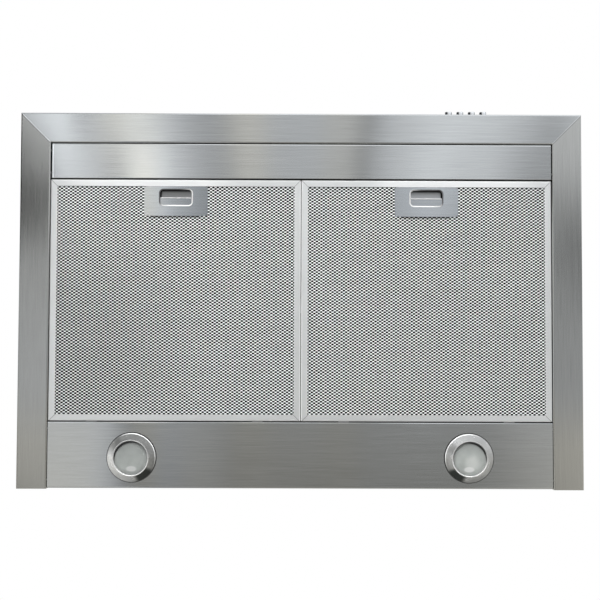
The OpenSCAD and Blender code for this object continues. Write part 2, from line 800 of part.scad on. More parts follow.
// The lens bulges a little below its seat
module lamp_lens(s) {
    seat_r = neck_r - neck_wall - 0.2;
    at_lamp(s)
        translate([0, 0, lens_seat])
            rotate_extrude()
                polygon(concat(
                    [[0, lens_t]], [for (k = [0 : 6]) [(lens_r - 0.3) * k / 6, -1.4 * (1 - k * k / 36)]],
                    [[seat_r, 0], [seat_r, lens_edge], [seat_r - 2, lens_t]]
                ));
}

// The reflector is a spun cup that hangs on the bezel's neck by its rim
module lamp_reflector(s) {
    top_r = holder_r + 0.4;
    bowl_r = neck_r - 3;
    bowl = [for (k = [0 : 8]) [bowl_r - (bowl_r - top_r) * pow(k / 8, 2.2),
        neck_rise + 1 + (reflector_h - neck_rise - 1) * sin(90 * k / 8)]];
    at_lamp(s)
        rotate_extrude()
            polygon(concat(
                [[bowl_r - reflector_t, neck_rise], [neck_r, neck_rise], [neck_r, neck_rise + 1]],
                bowl,
                [for (p = reversed(bowl)) [max(p[0] - reflector_t, top_r - 0.1), p[1] - reflector_t]]
            ));
}

module lamp_holder(s) {
    at_lamp(s)
        translate([0, 0, reflector_h - 6])
            difference() {
                union() {
                    cylinder(r = holder_r, h = holder_h);
                    translate([0, 0, 6.3]) cylinder(r = holder_r + 4, h = 2);
                }
                for (t = [-1, 1])
                    translate([2 * t, 0, -cut]) cylinder(r = 0.7, h = 8);
            }
}

module lamp_bulb(s) {
    at_lamp(s)
        translate([0, 0, reflector_h - 6 - touch_gap])
            rotate([180, 0, 0]) {
                cylinder(r = bulb_r - 1, h = 4);
                translate([0, 0, 4]) cylinder(r = bulb_r, h = 12);
                translate([0, 0, 16]) sphere(r = bulb_r);
                for (t = [-1, 1])
                    translate([2 * t, 0, -6]) cylinder(r = 0.5, h = 7);
            }
}

// Push buttons: drawn along +Y from the rim's front face
module at_buttons() {
    for (i = [0 : 3])
        at_button(i) children();
}

module at_button(i) {
    translate([button_x + (i - 1.5) * button_pitch, -hood_d, button_z]) children();
}

module push_button(i) {
    cap_in = sheet + touch_gap;
    in_frame() at_button(i)
        rotate([-90, 0, 0])
            rotate_extrude()
                polygon([[0, -button_out - 0.4], [button_r - 1.6, -button_out - 0.2],
                    [button_r - 0.4, -button_out + 0.5], [button_r, -button_out + 1.3],
                    [button_r, cap_in], [button_collar_r, cap_in],
                    [button_collar_r, cap_in + button_collar_t], [stem_r, cap_in + button_collar_t],
                    [stem_r, block_front + stem_in], [0, block_front + stem_in]]);
}

module light_button() color(chrome) push_button(0);
module low_speed_button() color(chrome) push_button(1);
module medium_speed_button() color(chrome) push_button(2);
module high_speed_button() color(chrome) push_button(3);

module switch_block() in_frame() color(black_plastic) {
    difference() {
        translate([button_x - block_w / 2, -hood_d + block_front, button_z - block_h / 2])
            cube([block_w, block_d, block_h]);
        at_buttons() translate([0, block_front - cut, 0])
            cylinder_y(stem_r + 0.15, stem_in + button_travel + 1 + cut);
        for (i = [0 : 3])
            at_button(i) translate([-5, block_front + block_d - 3, block_h / 2 - 5])
                cube([10, 4, 6]);
    }
}

// The bracket clasps the block and is spot-welded to the inside of the rim by its feet
module switch_bracket() in_frame() color(galvanised) {
    half = block_w / 2 + touch_gap + sheet;
    inside = -hood_d + 2 * sheet;
    rear = -hood_d + block_front + block_d + touch_gap + sheet;
    translate([button_x, 0, button_z - strip_h / 2])
        linear_extrude(strip_h)
            folded_sheet([[-half - foot_l, inside], [-half, inside], [-half, rear], [half, rear],
                [half, inside], [half + foot_l, inside]], sheet);
}

// Wiring pieces on the front of the back plate
module junction_box() in_frame() color(black_plastic) {
    translate([junction_x - junction_w / 2, -sheet - junction_d, junction_z - junction_h / 2])
        difference() {
            cube([junction_w, junction_d, junction_h]);
            translate([2, -cut, 2]) cube([junction_w - 4, junction_d - 2 + cut, junction_h - 4]);
            for (x = [junction_w / 4, 3 * junction_w / 4])
                translate([x, junction_d / 2, junction_h - 4]) cylinder(r = 5, h = 6);
        }
}

module junction_box_cover() in_frame() color(black_plastic) {
    translate([junction_x, -sheet - junction_d, junction_z])
        difference() {
            union() {
                run_back(3) polygon(round_rect(junction_w, junction_h, 3));
                translate([-junction_w / 2 + 2.3, 0, -junction_h / 2 + 2.3])
                    cube([junction_w - 4.6, 3, junction_h - 4.6]);
            }
            translate([-junction_w / 2 + 4, 0, -junction_h / 2 + 4])
                cube([junction_w - 8, 3 + cut, junction_h - 8]);
        }
}

module terminal_block() in_frame() color(white_plastic) {
    translate([junction_x - 15, -sheet - 2 - 18, junction_z - 10])
        difference() {
            cube([30, 18, 20]);
            for (x = [5, 15, 25])
                translate([x, -cut, 10]) cylinder_y(2.5, 8);
        }
}

module capacitor() in_frame() color(white_plastic) {
    translate([capacitor_x - capacitor_l / 2, -sheet - capacitor_r - 1.4, junction_z])
        rotate([0, 90, 0])
            rotate_extrude()
                polygon([[0, 0], [capacitor_r - 1, 0], [capacitor_r, 1], [capacitor_r, capacitor_l - 2],
                    [capacitor_r - 1, capacitor_l - 1], [3, capacitor_l - 1], [3, capacitor_l + 5],
                    [0, capacitor_l + 5]]);
}

module capacitor_clip() in_frame() color(galvanised) {
    clip_r = capacitor_r + 0.2;
    translate([capacitor_x - 6, -sheet - capacitor_r - 1.4, junction_z])
        difference() {
            union() {
                cylinder_x(clip_r + 1, 12);
                translate([0, capacitor_r + 0.4, -clip_r - 10]) cube([12, 1, 2 * clip_r + 20]);
            }
            translate([-cut, 0, 0]) cylinder_x(clip_r, 12 + 2 * cut);
        }
}

module cable_grommet() in_frame() color(black_plastic) {
    translate([grommet_x, 0, grommet_z])
        rotate([90, 0, 0])
            rotate_extrude()
                polygon([[cable_r, 0], [cable_r + 2.3, 0], [cable_r + 2.3, sheet + 0.2],
                    [cable_r + 4.5, sheet + 0.2], [cable_r + 4, sheet + 2], [cable_r + 2, sheet + 8],
                    [cable_r, sheet + 8]]);
}

// Blower box: open below, with inward flanges along its front and rear edges
module blower_box() in_frame() color(galvanised) {
    translate([-box_w / 2, -box_back - box_d, box_z])
        difference() {
            union() {
                difference() {
                    cube([box_w, box_d, box_h]);
                    translate([box_t, box_t, -cut]) cube([box_w - 2 * box_t, box_d - 2 * box_t, box_h - box_t + cut]);
                }
                translate([0, box_t / 2, 0]) cube([box_w, box_flange + box_t / 2, box_t]);
                translate([0, box_d - box_t - box_flange, 0]) cube([box_w, box_flange + box_t / 2, box_t]);
            }
            translate([box_w / 2, box_d + box_back - collar_back, box_h - 2 * box_t])
                cylinder(r = collar_r - collar_t, h = 4 * box_t);
            for (s = [-1, 1])
                for (t = [-1, 1])
                    translate([box_w / 2 + s * collar_screw, box_d + box_back - collar_back + t * collar_screw,
                            box_h - 2 * box_t])
                        cylinder(r = screw_hole_r, h = 4 * box_t);
            for (x = box_screw_x)
                for (y = box_screw_y)
                    translate([x + box_w / 2, y + box_d + box_back, -cut]) cylinder(r = screw_hole_r, h = 3 * box_t);
        }
}

// Scroll: the radius grows evenly from the cut-off round to the outlet's rear wall
function scroll_radius(a) = wheel_r + scroll_gap + scroll_growth * (a - cut_off) / (360 - cut_off);

function scroll_outline(t, start, top) = concat(
    [for (k = [0 : scroll_steps])
        let (a = start + (360 - start) * k / scroll_steps) polar(scroll_radius(a) + t, a)],
    [[scroll_out + t, top], [throat_y - t, top]]
);

module at_wheel() {
    in_frame() translate([0, -wheel_back, wheel_z]) children();
}

bell_r = 5;
bell_t = 1.6;
scroll_start = acos((throat_y - scroll_t) / (wheel_r + scroll_gap + scroll_t)) + 4;

// Flared mouth of the inlet: a quarter round about a centre outside the mouth
function bell_arc(r) = [for (k = [0 : 4]) [inlet_r + bell_r, 0] + [-r * cos(22.5 * k), r * sin(22.5 * k)]];
function bell_outline() = concat([[inlet_r, -cut]], bell_arc(bell_r), reversed(bell_arc(bell_r - bell_t)),
    [[inlet_r + bell_t, -cut]]);

module scroll_half_shell() {
    difference() {
        union() {
            run_x(scroll_half)
                polygon(concat(scroll_outline(scroll_t, scroll_start, throat_top),
                    [[throat_y - scroll_t, (wheel_r + scroll_gap + scroll_t) * sin(scroll_start)]]));
            translate([scroll_half, 0, 0]) rotate([0, 90, 0]) rotate_extrude() polygon(bell_outline());
        }
        translate([-cut, 0, 0])
            run_x(scroll_w / 2 + cut) polygon(scroll_outline(0, cut_off, throat_top + cut));
        cylinder_x(inlet_r, scroll_half + 2 * bell_r);
    }
}

module scroll_right() at_wheel() color(black_plastic) scroll_half_shell();
module scroll_left() at_wheel() color(black_plastic) mirror([1, 0, 0]) scroll_half_shell();

// Impeller: forward-curved blades through a middle disc, with an end ring on each side
function blade_outline() =
    let (
        steps = 4,
        half = 0.45,
        root = wheel_r - blade_d,
        side = function (s) [for (k = [0 : steps])
            let (r = root + (blade_d - 0.5) * k / steps, lean = 14 * pow(k / steps, 2))
            polar(r, lean + s * half / r * 180 / PI)]
    )
    concat(side(-1), reversed(side(1)));

module impeller() at_wheel() color(galvanised) {
    ring_w = 2;
    ring_d = 6;
    disc_t = 2;
    difference() {
        union() {
            translate([-wheel_w / 2, 0, 0])
                for (k = [0 : blade_count - 1])
                    rotate([360 * k / blade_count, 0, 0]) run_x(wheel_w) polygon(blade_outline());
            for (x = [-wheel_w / 2, wheel_w / 2 - ring_w])
                difference() {
                    translate([x, 0, 0]) cylinder_x(wheel_r, ring_w);
                    translate([x - cut, 0, 0]) cylinder_x(wheel_r - ring_d, ring_w + 2 * cut);
                }
            translate([-disc_t / 2, 0, 0]) cylinder_x(wheel_r - 0.3, disc_t);
            translate([-hub_r, 0, 0]) cylinder_x(hub_r, 2 * hub_r);
        }
        translate([-hub_r - cut, 0, 0]) cylinder_x(shaft_r + 0.02, 2 * hub_r + 2 * cut);
    }
}

module motor_shaft() at_wheel() color(chrome) translate([-hub_r - 2, 0, 0]) cylinder_x(shaft_r, motor_start + hub_r + 26);

module motor() at_wheel() color(galvanised) {
    rotate([0, 90, 0])
        rotate_extrude()
            polygon([[shaft_bore, motor_start], [14, motor_start], [14, motor_start + 4],
                [motor_r - 8, motor_start + 6], [motor_r - 2, motor_start + 12], [motor_r - 2, motor_start + 24],
                [motor_r, motor_start + 24], [motor_r, motor_start + motor_l - 14],
                [motor_r - 2, motor_start + motor_l - 14], [motor_r - 2, motor_start + motor_l - 8],
                [motor_r - 10, motor_start + motor_l], [0, motor_start + motor_l],
                [0, motor_start + 27], [shaft_bore, motor_start + 27]]);
}

// Motor bracket: a ring round the motor with three arms and feet on the scroll's side
module motor_bracket() at_wheel() color(galvanised) {
    arm_x = scroll_half + bell_r + 1;
    foot_r = inlet_r + bell_r + 9;
    difference() {
        union() {
            translate([arm_x - 4, 0, 0]) cylinder_x(motor_r + 3, 8);
            for (a = [30, 150, 270])
                rotate([a, 0, 0]) {
                    translate([arm_x, motor_r, -6]) cube([2, foot_r - motor_r, 12]);
                    translate([scroll_half, foot_r, 0]) cylinder_x(5, arm_x + 2 - scroll_half);
                }
        }
        translate([arm_x - 5, 0, 0]) cylinder_x(motor_r + 0.1, 10);
    }
}

// Outlet collar with the non-return damper
module at_collar() {
    in_frame() translate([0, -collar_back, collar_z]) children();
}

module outlet_collar() at_collar() color(black_plastic) {
    inner_r = collar_r - collar_t;
    difference() {
        union() {
            linear_extrude(2) polygon(round_rect(collar_plate, collar_plate, 8));
            cylinder(r = collar_r, h = collar_h, $fn = 96);
        }
        translate([0, 0, -cut]) cylinder(r = inner_r, h = collar_h + 2 * cut, $fn = 96);
        translate([0, -collar_r - cut, pin_z]) cylinder_y(pin_r + 0.05, 2 * collar_r + 2 * cut);
        for (s = [-1, 1])
            for (t = [-1, 1])
                translate([s * collar_screw, t * collar_screw, -cut]) cylinder(r = screw_hole_r, h = 2 + 2 * cut);
    }
    for (s = [-1, 1])
        intersection() {
            translate([s * (inner_r - 1) - 3, -10, pin_z - flap_t / 2 - touch_gap - 4]) cube([6, 20, 4]);
            difference() {
                cylinder(r = inner_r + 0.5, h = collar_h);
                translate([0, 0, -cut]) cylinder(r = inner_r - 4, h = collar_h);
            }
        }
}

module damper_pin() at_collar() color(chrome)
    translate([0, -collar_r + 0.2, pin_z]) cylinder_y(pin_r, 2 * collar_r - 0.4);

// One half-moon flap, on the -X side, with the knuckles that start at each of the given places
module damper_flap(starts) {
    difference() {
        union() {
            intersection() {
                translate([0, 0, pin_z - flap_t / 2]) cylinder(r = flap_r, h = flap_t);
                union() {
                    translate([-collar_r, -collar_r, 0]) cube([collar_r - knuckle_r - 1, 2 * collar_r, collar_h]);
                    for (y = starts)
                        translate([-knuckle_r - 2, y, 0]) cube([knuckle_r + 2, knuckle_l - knuckle_gap, collar_h]);
                }
            }
            for (y = starts)
                translate([0, y, pin_z]) cylinder_y(knuckle_r, knuckle_l - knuckle_gap);
        }
        translate([0, -collar_r, pin_z]) cylinder_y(pin_r + 0.05, 2 * collar_r);
    }
}

module damper_flap_left() at_collar() color(galvanised)
    damper_flap([-2 * knuckle_l + 1, 1]);
module damper_flap_right() at_collar() color(galvanised)
    mirror([1, 0, 0]) damper_flap([-knuckle_l + 1, knuckle_l + 1]);

// Chimney covers: three walls with rear folds, drawn from above
function cover_path(w, d, back) = [
    [w / 2 - cover_fold, -back], [w / 2, -back], [w / 2, -d],
    [-w / 2, -d], [-w / 2, -back], [-w / 2 + cover_fold, -back]
];

module lower_chimney_cover() in_frame() color(steel) {
    difference() {
        translate([0, 0, neck_z]) linear_extrude(lower_h) folded_sheet(cover_path(lower_w, lower_d, 0), cover_t);
        for (y = side_screw_y)
            translate([-neck_w, y, side_screw_z]) cylinder_x(screw_hole_r, 2 * neck_w);
    }
}

module upper_chimney_cover() in_frame() color(steel) {
    difference() {
        translate([0, 0, upper_z]) linear_extrude(upper_h) folded_sheet(cover_path(upper_w, upper_d, nest), cover_t);
        for (row = [0 : slot_rows - 1])
            for (y = [-upper_d / 2 - slot_l / 2 - 8, -upper_d / 2 + slot_l / 2 + 8])
                translate([-neck_w, y, upper_top - 60 - row * 3 * slot_h])
                    rotate([90, 0, 90])
                        linear_extrude(2 * neck_w) polygon(round_rect(slot_l, slot_h, slot_h / 2 - 0.01, 3));
        translate([-neck_w, bracket_screw_y, bracket_screw_z]) cylinder_x(screw_hole_r, 2 * neck_w);
    }
}

// Upper wall bracket: a strip on the wall that steps forward round the cover's rear folds
module upper_wall_bracket() in_frame() color(galvanised) {
    arm = upper_w / 2 - cover_t - touch_gap;
    strap = upper_w / 2 - cover_fold - 3;
    step = -nest - cover_t - 3;
    difference() {
        translate([0, 0, upper_top - bracket_h])
            linear_extrude(bracket_h - 2)
                folded_sheet([[-arm, -bracket_arm], [-arm, step], [-strap, step], [-strap, 0],
                    [strap, 0], [strap, step], [arm, step], [arm, -bracket_arm]], bracket_t);
        for (s = [-1, 1])
            translate([s * bracket_span / 2, -3, upper_top - bracket_h / 2 - 1]) cylinder_y(bracket_hole_r, 6);
        translate([-neck_w, bracket_screw_y, bracket_screw_z]) cylinder_x(screw_hole_r, 2 * neck_w);
    }
}

// A pan-head screw whose head sits on z = 0 and whose shank runs down
module screw(l) {
    rotate_extrude()
        polygon([[0, head_h], [head_r - 1.2, head_h], [head_r - 0.3, head_h - 0.6], [head_r, 0],
            [screw_r, 0], [screw_r, -l + 1], [0.4, -l], [0, -l]]);
}

module assembly_screws() in_frame() color(galvanised) {
    for (s = [-1, 1]) {
        for (y = lip_screw_y)
            translate([s * lip_screw_x, y, neck_z + top_plate_t]) screw(assembly_screw_l);
        for (y = side_screw_y)
            translate([s * lower_w / 2, y, side_screw_z]) rotate([0, 90 * s, 0]) screw(assembly_screw_l);
        for (t = [-1, 1])
            translate([s * collar_screw, -collar_back + t * collar_screw, collar_z + 2]) screw(assembly_screw_l);
    }
    for (x = box_screw_x) {
        translate([x, front_screw_y, neck_z + top_plate_t]) screw(assembly_screw_l);
        for (y = box_screw_y)
            translate([x, y, neck_z]) rotate([180, 0, 0]) screw(assembly_screw_l);
    }
}

module bracket_screws() in_frame() color(galvanised) {
    for (s = [-1, 1])
        translate([s * upper_w / 2, bracket_screw_y, bracket_screw_z]) rotate([0, 90 * s, 0]) screw(assembly_screw_l);
}

module filter_frame_left() in_frame() color(aluminium) filter_frame(-1);
module filter_front_mesh_left() in_frame() color(aluminium) filter_front_mesh(-1);
module filter_core_left() in_frame() color(aluminium) filter_core(-1);
module filter_back_mesh_left() in_frame() color(aluminium) filter_back_mesh(-1);
module handle_plate_left() in_frame() color(satin_grey) handle_plate(-1);
module latch_slider_left() in_frame() color(satin_grey) latch_slider(-1);
module latch_spring_left() in_frame() color(chrome) latch_spring(-1);
module filter_frame_right() in_frame() color(aluminium) filter_frame(1);
module filter_front_mesh_right() in_frame() color(aluminium) filter_front_mesh(1);
module filter_core_right() in_frame() color(aluminium) filter_core(1);
module filter_back_mesh_right() in_frame() color(aluminium) filter_back_mesh(1);
module handle_plate_right() in_frame() color(satin_grey) handle_plate(1);
module latch_slider_right() in_frame() color(satin_grey) latch_slider(1);
module latch_spring_right() in_frame() color(chrome) latch_spring(1);
module lamp_bezel_left() color(steel) lamp_bezel(-1);
module lamp_lens_left() color(frosted_glass) lamp_lens(-1);
module lamp_reflector_left() color(aluminium) lamp_reflector(-1);
module lamp_bulb_left() color(frosted_glass) lamp_bulb(-1);
module lamp_holder_left() color(white_plastic) lamp_holder(-1);
module lamp_bezel_right() color(steel) lamp_bezel(1);
module lamp_lens_right() color(frosted_glass) lamp_lens(1);
module lamp_reflector_right() color(aluminium) lamp_reflector(1);
module lamp_bulb_right() color(frosted_glass) lamp_bulb(1);
module lamp_holder_right() color(white_plastic) lamp_holder(1);

canopy_front();
canopy_left_side();
canopy_right_side();
back_plate();
top_plate();
front_infill_panel();
lamp_panel();
panel_rivets();
filter_frame_left();
filter_front_mesh_left();
filter_core_left();
filter_back_mesh_left();
handle_plate_left();
latch_slider_left();
latch_spring_left();
filter_frame_right();
filter_front_mesh_right();
filter_core_right();
filter_back_mesh_right();
handle_plate_right();
latch_slider_right();
latch_spring_right();
lamp_bezel_left();
lamp_lens_left();
lamp_reflector_left();
lamp_bulb_left();
lamp_holder_left();
lamp_bezel_right();
lamp_lens_right();
lamp_reflector_right();
lamp_bulb_right();
lamp_holder_right();
light_button();
low_speed_button();
medium_speed_button();
high_speed_button();
switch_block();
switch_bracket();
junction_box();
junction_box_cover();
terminal_block();
capacitor();
capacitor_clip();
cable_grommet();
blower_box();
scroll_left();
scroll_right();
impeller();
motor_shaft();
motor();
motor_bracket();
outlet_collar();
damper_pin();
damper_flap_left();
damper_flap_right();
lower_chimney_cover();
upper_chimney_cover();
upper_wall_bracket();
assembly_screws();
bracket_screws();
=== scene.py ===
"""Finishes, filter mesh, handles, lamps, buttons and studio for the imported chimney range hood.

Everything is in metres in the hood's own frame: +X to the right, the wall at y = 0, +Z up.
"""

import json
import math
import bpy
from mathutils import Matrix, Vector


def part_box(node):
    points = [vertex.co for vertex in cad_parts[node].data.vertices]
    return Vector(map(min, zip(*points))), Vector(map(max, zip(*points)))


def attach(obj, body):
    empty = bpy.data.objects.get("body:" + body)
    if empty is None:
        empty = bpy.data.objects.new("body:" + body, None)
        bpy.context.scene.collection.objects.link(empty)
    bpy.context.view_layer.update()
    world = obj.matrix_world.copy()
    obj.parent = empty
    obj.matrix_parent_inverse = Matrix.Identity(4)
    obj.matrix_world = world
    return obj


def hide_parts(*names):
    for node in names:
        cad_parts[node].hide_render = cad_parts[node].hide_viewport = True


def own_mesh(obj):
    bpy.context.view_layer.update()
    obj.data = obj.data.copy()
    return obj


bl_info = {
    "name": "Range hood finishes",
    "version": (1, 0, 0),
    "blender": (4, 5, 0),
    "location": "3D View > Sidebar > Range hood",
    "description": "Brushed steel, expanded mesh, handles, lamps and buttons of a chimney range hood",
    "category": "Object",
}

import bpy
import numpy as np
from bpy.props import FloatProperty, FloatVectorProperty, PointerProperty
from mathutils import Matrix, Vector

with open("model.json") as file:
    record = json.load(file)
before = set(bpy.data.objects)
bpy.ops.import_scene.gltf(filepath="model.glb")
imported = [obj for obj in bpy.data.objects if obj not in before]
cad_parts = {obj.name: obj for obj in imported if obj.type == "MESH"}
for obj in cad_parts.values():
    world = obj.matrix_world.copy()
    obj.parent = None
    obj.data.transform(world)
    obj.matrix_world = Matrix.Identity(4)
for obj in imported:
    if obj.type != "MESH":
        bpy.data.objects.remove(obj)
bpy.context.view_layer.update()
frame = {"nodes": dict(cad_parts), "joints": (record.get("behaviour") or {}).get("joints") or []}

MM = 0.001
SIDES = ("left", "right")
BUTTONS = ("light_button", "low_speed_button", "medium_speed_button", "high_speed_button")
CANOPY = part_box("canopy_front")
HALF_WIDTH = CANOPY[1].x
FRONT_Y = CANOPY[0].y
PANEL_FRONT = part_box("lamp_panel")[0].y
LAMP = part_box("lamp_bezel_right")
LAMP_RADIUS = (LAMP[1].x - LAMP[0].x) / 2
LAMP_AXIS = ((LAMP[0].x + LAMP[1].x) / 2, (LAMP[0].y + LAMP[1].y) / 2)
MESH_EDGE = 2.2 * MM
WINDOW = (42.4 * MM, 20.6 * MM)
WINDOW_Y = 23.7 * MM
WHITE = (1.0, 1.0, 1.0)


# Shader maths


def grey(level):
    return (level, level, level)


def toned(colour, share):
    """A colour made darker or paler, with no part above 1."""
    return [min(1.0, share * part) for part in colour]


class Value:
    """A shader output that Python's operators work on: each expression adds its Math node."""

    def __init__(self, shader, socket):
        self.shader, self.socket = shader, socket

    def __add__(self, other):
        return self.shader.maths("ADD", self, other)

    def __sub__(self, other):
        return self.shader.maths("SUBTRACT", self, other)

    def __rsub__(self, other):
        return self.shader.maths("SUBTRACT", other, self)

    def __mul__(self, other):
        return self.shader.maths("MULTIPLY", self, other)

    def __rtruediv__(self, other):
        return self.shader.maths("DIVIDE", other, self)

    def __abs__(self):
        return self.shader.maths("ABSOLUTE", self)

    __radd__, __rmul__ = __add__, __mul__


class Shader:
    """The nodes behind a surface of the world or of a material, with one method that adds any node."""

    def __init__(self, tree, surface):
        self.tree, self.surface = tree, surface

    def feed(self, sockets, node=None):
        """Sets or links sockets of a node, or of the surface."""
        for key, value in sockets.items():
            socket = (node or self.surface).inputs[key]
            if isinstance(value, Value):
                self.tree.links.new(value.socket, socket)
            elif socket.type == "RGBA" and len(value) == 3:
                socket.default_value = (*value, 1.0)
            else:
                socket.default_value = value

    def node(self, kind, settings, sockets, out=0):
        """Adds a node: first its settings, then its sockets' values or links."""
        made = self.tree.nodes.new(kind)
        for key, value in settings.items():
            setattr(made, key, value)
        self.feed(sockets, made)
        return Value(self, made.outputs[out])

    def maths(self, operation, *terms):
        return self.node("ShaderNodeMath", {"operation": operation}, dict(enumerate(terms)))


class Finish(Shader):
    """A material with one Principled shader, and the patterns that its finishes are made of."""

    def __init__(self, name, colour, roughness, metallic=0.0, **constants):
        self.material = bpy.data.materials.new(name)
        self.material.use_nodes = True
        tree = self.material.node_tree
        super().__init__(tree, tree.nodes["Principled BSDF"])
        self.feed({"Base Color": colour, "Roughness": roughness, "Metallic": metallic})
        self.feed({key.replace("_", " "): value for key, value in constants.items()})
        self.place = self.node("ShaderNodeTexCoord", {}, {}, "Object")

    def stretched(self, scale):
        """Object coordinates times a scale of its own along each axis."""
        return self.node("ShaderNodeMapping", {}, {"Vector": self.place, "Scale": scale})

    def noise(self, vector, scale=1.0, detail=2.0, rough=0.5):
        return self.node("ShaderNodeTexNoise", {},
                         {"Vector": vector, "Scale": scale, "Detail": detail, "Roughness": rough})

    def smooth(self, value, low, high):
        """Rises smoothly from 0 to 1 as the value goes from low to high."""
        return self.node("ShaderNodeMapRange", {"interpolation_type": "SMOOTHSTEP"},
                         {"Value": value, "From Min": low, "From Max": high})

    def fall(self, value, low, high):
        """Falls smoothly from 1 to 0 as the value goes from low to high."""
        return 1 - self.smooth(value, low, high)

    def mix(self, factor, low, high):
        return self.node("ShaderNodeMix", {"data_type": "RGBA"}, {0: factor, 6: low, 7: high}, 2)

    def parts(self, vector):
        """The x, y and z of a vector."""
        split = self.node("ShaderNodeSeparateXYZ", {}, {0: vector})
        return [Value(self, output) for output in split.socket.node.outputs]

    def axes(self):
        return self.parts(self.place)

    def length(self, across, along):
        """Length of a step whose two parts are at right angles."""
        return self.maths("SQRT", across * across + along * along)

    def from_lamp(self):
        """Steps from the axis of the nearer lamp: out from the hood's middle, and back to the wall."""
        x, y, _ = self.axes()
        return abs(x) - LAMP_AXIS[0], y - LAMP_AXIS[1]

    def tangent(self, axis):
        """The direction round an axis, along which gloss is drawn out."""
        return self.node("ShaderNodeTangent", {"direction_type": "RADIAL", "axis": axis}, {})

    def bump(self, height, depth):
        """Gives the surface a relief: height is 0 to 1 and depth is in metres."""
        self.feed({"Normal": self.node("ShaderNodeBump", {}, {"Height": height, "Distance": depth})})


# Surfaces on grids


def welded(vertices, quads, tris=()):
    """Merges points that coincide and turns quads that lost a corner into triangles."""
    keys = np.round(vertices / 1e-8).astype(np.int64)
    _, first, back = np.unique(keys, axis=0, return_index=True, return_inverse=True)
    back = back.ravel()
    quads = back[np.asarray(quads, int).reshape(-1, 4)]
    tris = back[np.asarray(tris, int).reshape(-1, 3)]
    doubled = quads == np.roll(quads, -1, axis=1)
    lost = doubled.any(axis=1)
    corners = quads[lost][~doubled[lost]].reshape(-1, 3)
    return vertices[first], quads[~lost], np.vstack([tris, corners])


def new_piece(name, surface, finish, body, replaced=(), sharp=35.0, smooth=True):
    """Makes a mesh object from points, quads and triangles, in place, riding on a body."""
    vertices, quads, tris = surface
    mesh = bpy.data.meshes.new(name)
    corners = np.concatenate([quads.ravel(), tris.ravel()]).astype(np.int32)
    starts = np.concatenate([4 * np.arange(len(quads)), 4 * len(quads) + 3 * np.arange(len(tris))])
    mesh.vertices.add(len(vertices))
    mesh.vertices.foreach_set("co", np.asarray(vertices, np.float32).ravel())
    mesh.loops.add(len(corners))
    mesh.loops.foreach_set("vertex_index", corners)
    mesh.polygons.add(len(starts))
    mesh.polygons.foreach_set("loop_start", starts.astype(np.int32))
    mesh.polygons.foreach_set("use_smooth", np.full(len(starts), smooth))
    mesh.update(calc_edges=True)
    mesh.validate()
    if smooth:
        mesh.set_sharp_from_angle(angle=math.radians(sharp))
    mesh.materials.append(finish)
    piece = bpy.data.objects.new(name, mesh)
    bpy.context.collection.objects.link(piece)
    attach(piece, body)
    if replaced:
        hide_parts(*replaced)
    return piece


def ring_quads(rings, sides, closed=False):
    """Quads between neighbouring rings of points; closed joins the last ring to the first."""
    ring, side = np.meshgrid(np.arange(rings if closed else rings - 1), np.arange(sides), indexing="ij")
    here, there = ring * sides, (ring + 1) % rings * sides
    after = (side + 1) % sides
    return np.stack([here + side, here + after, there + after, there + side], axis=-1).reshape(-1, 4)


def turned(profile, centre, axis="Z", sides=96, closed=False):
    """A profile of (radius, height) points turned about an axis: point = centre + r * out + h * axis.

    A profile that runs up the axis and back keeps its faces outwards when it is walked with the
    solid on its left, radius to the right and height up."""
    radius, height = np.asarray(profile, float).T
    angle = 2 * np.pi * np.arange(sides) / sides
    across, up = np.cos(angle), np.sin(angle)
    flat = {"Z": (across, up, 0 * across), "Y": (up, 0 * across, across)}[axis]
    along = {"Z": (0, 0, 1), "Y": (0, 1, 0)}[axis]
    out = np.stack(flat, axis=-1)
    points = (np.asarray(centre, float) + radius[:, None, None] * out[None]
              + height[:, None, None] * np.asarray(along, float))
    quads = ring_quads(len(radius), sides, closed)
    return welded(points.reshape(-1, 3), quads)


def arc(centre, radius, start, stop, count):
    """Points (a, b) of an arc: centre plus radius times (cos, sin) of evenly spaced angles in degrees."""
    angle = np.radians(np.linspace(start, stop, count))
    return np.stack([centre[0] + radius * np.cos(angle), centre[1] + radius * np.sin(angle)], axis=-1)


def round_rectangle(width, depth, corner, steps=8):
    """Closed outline of a rectangle with round corners, and its outward directions."""
    angle = np.radians(np.linspace(0, 90, steps))[None] + np.radians(90 * np.arange(4))[:, None]
    out = np.stack([np.cos(angle), np.sin(angle)], axis=-1)
    sign = np.array([[1, 1], [-1, 1], [-1, -1], [1, -1]])[:, None]
    middle = sign * (np.array([width, depth]) / 2 - corner)
    return (middle + corner * out).reshape(-1, 2), out.reshape(-1, 2)


def lipped(outline, outwards, section, centre):
    """A closed section (outward offset, height) carried round a flat outline."""
    section = np.asarray(section, float)
    flat = outline[None] + section[:, 0][:, None, None] * outwards[None]
    height = np.broadcast_to(section[:, 1][:, None, None], flat.shape[:2] + (1,))
    points = np.concatenate([flat, height], axis=-1) + np.asarray(centre, float)
    return welded(points.reshape(-1, 3), ring_quads(len(section), len(outline), closed=True))


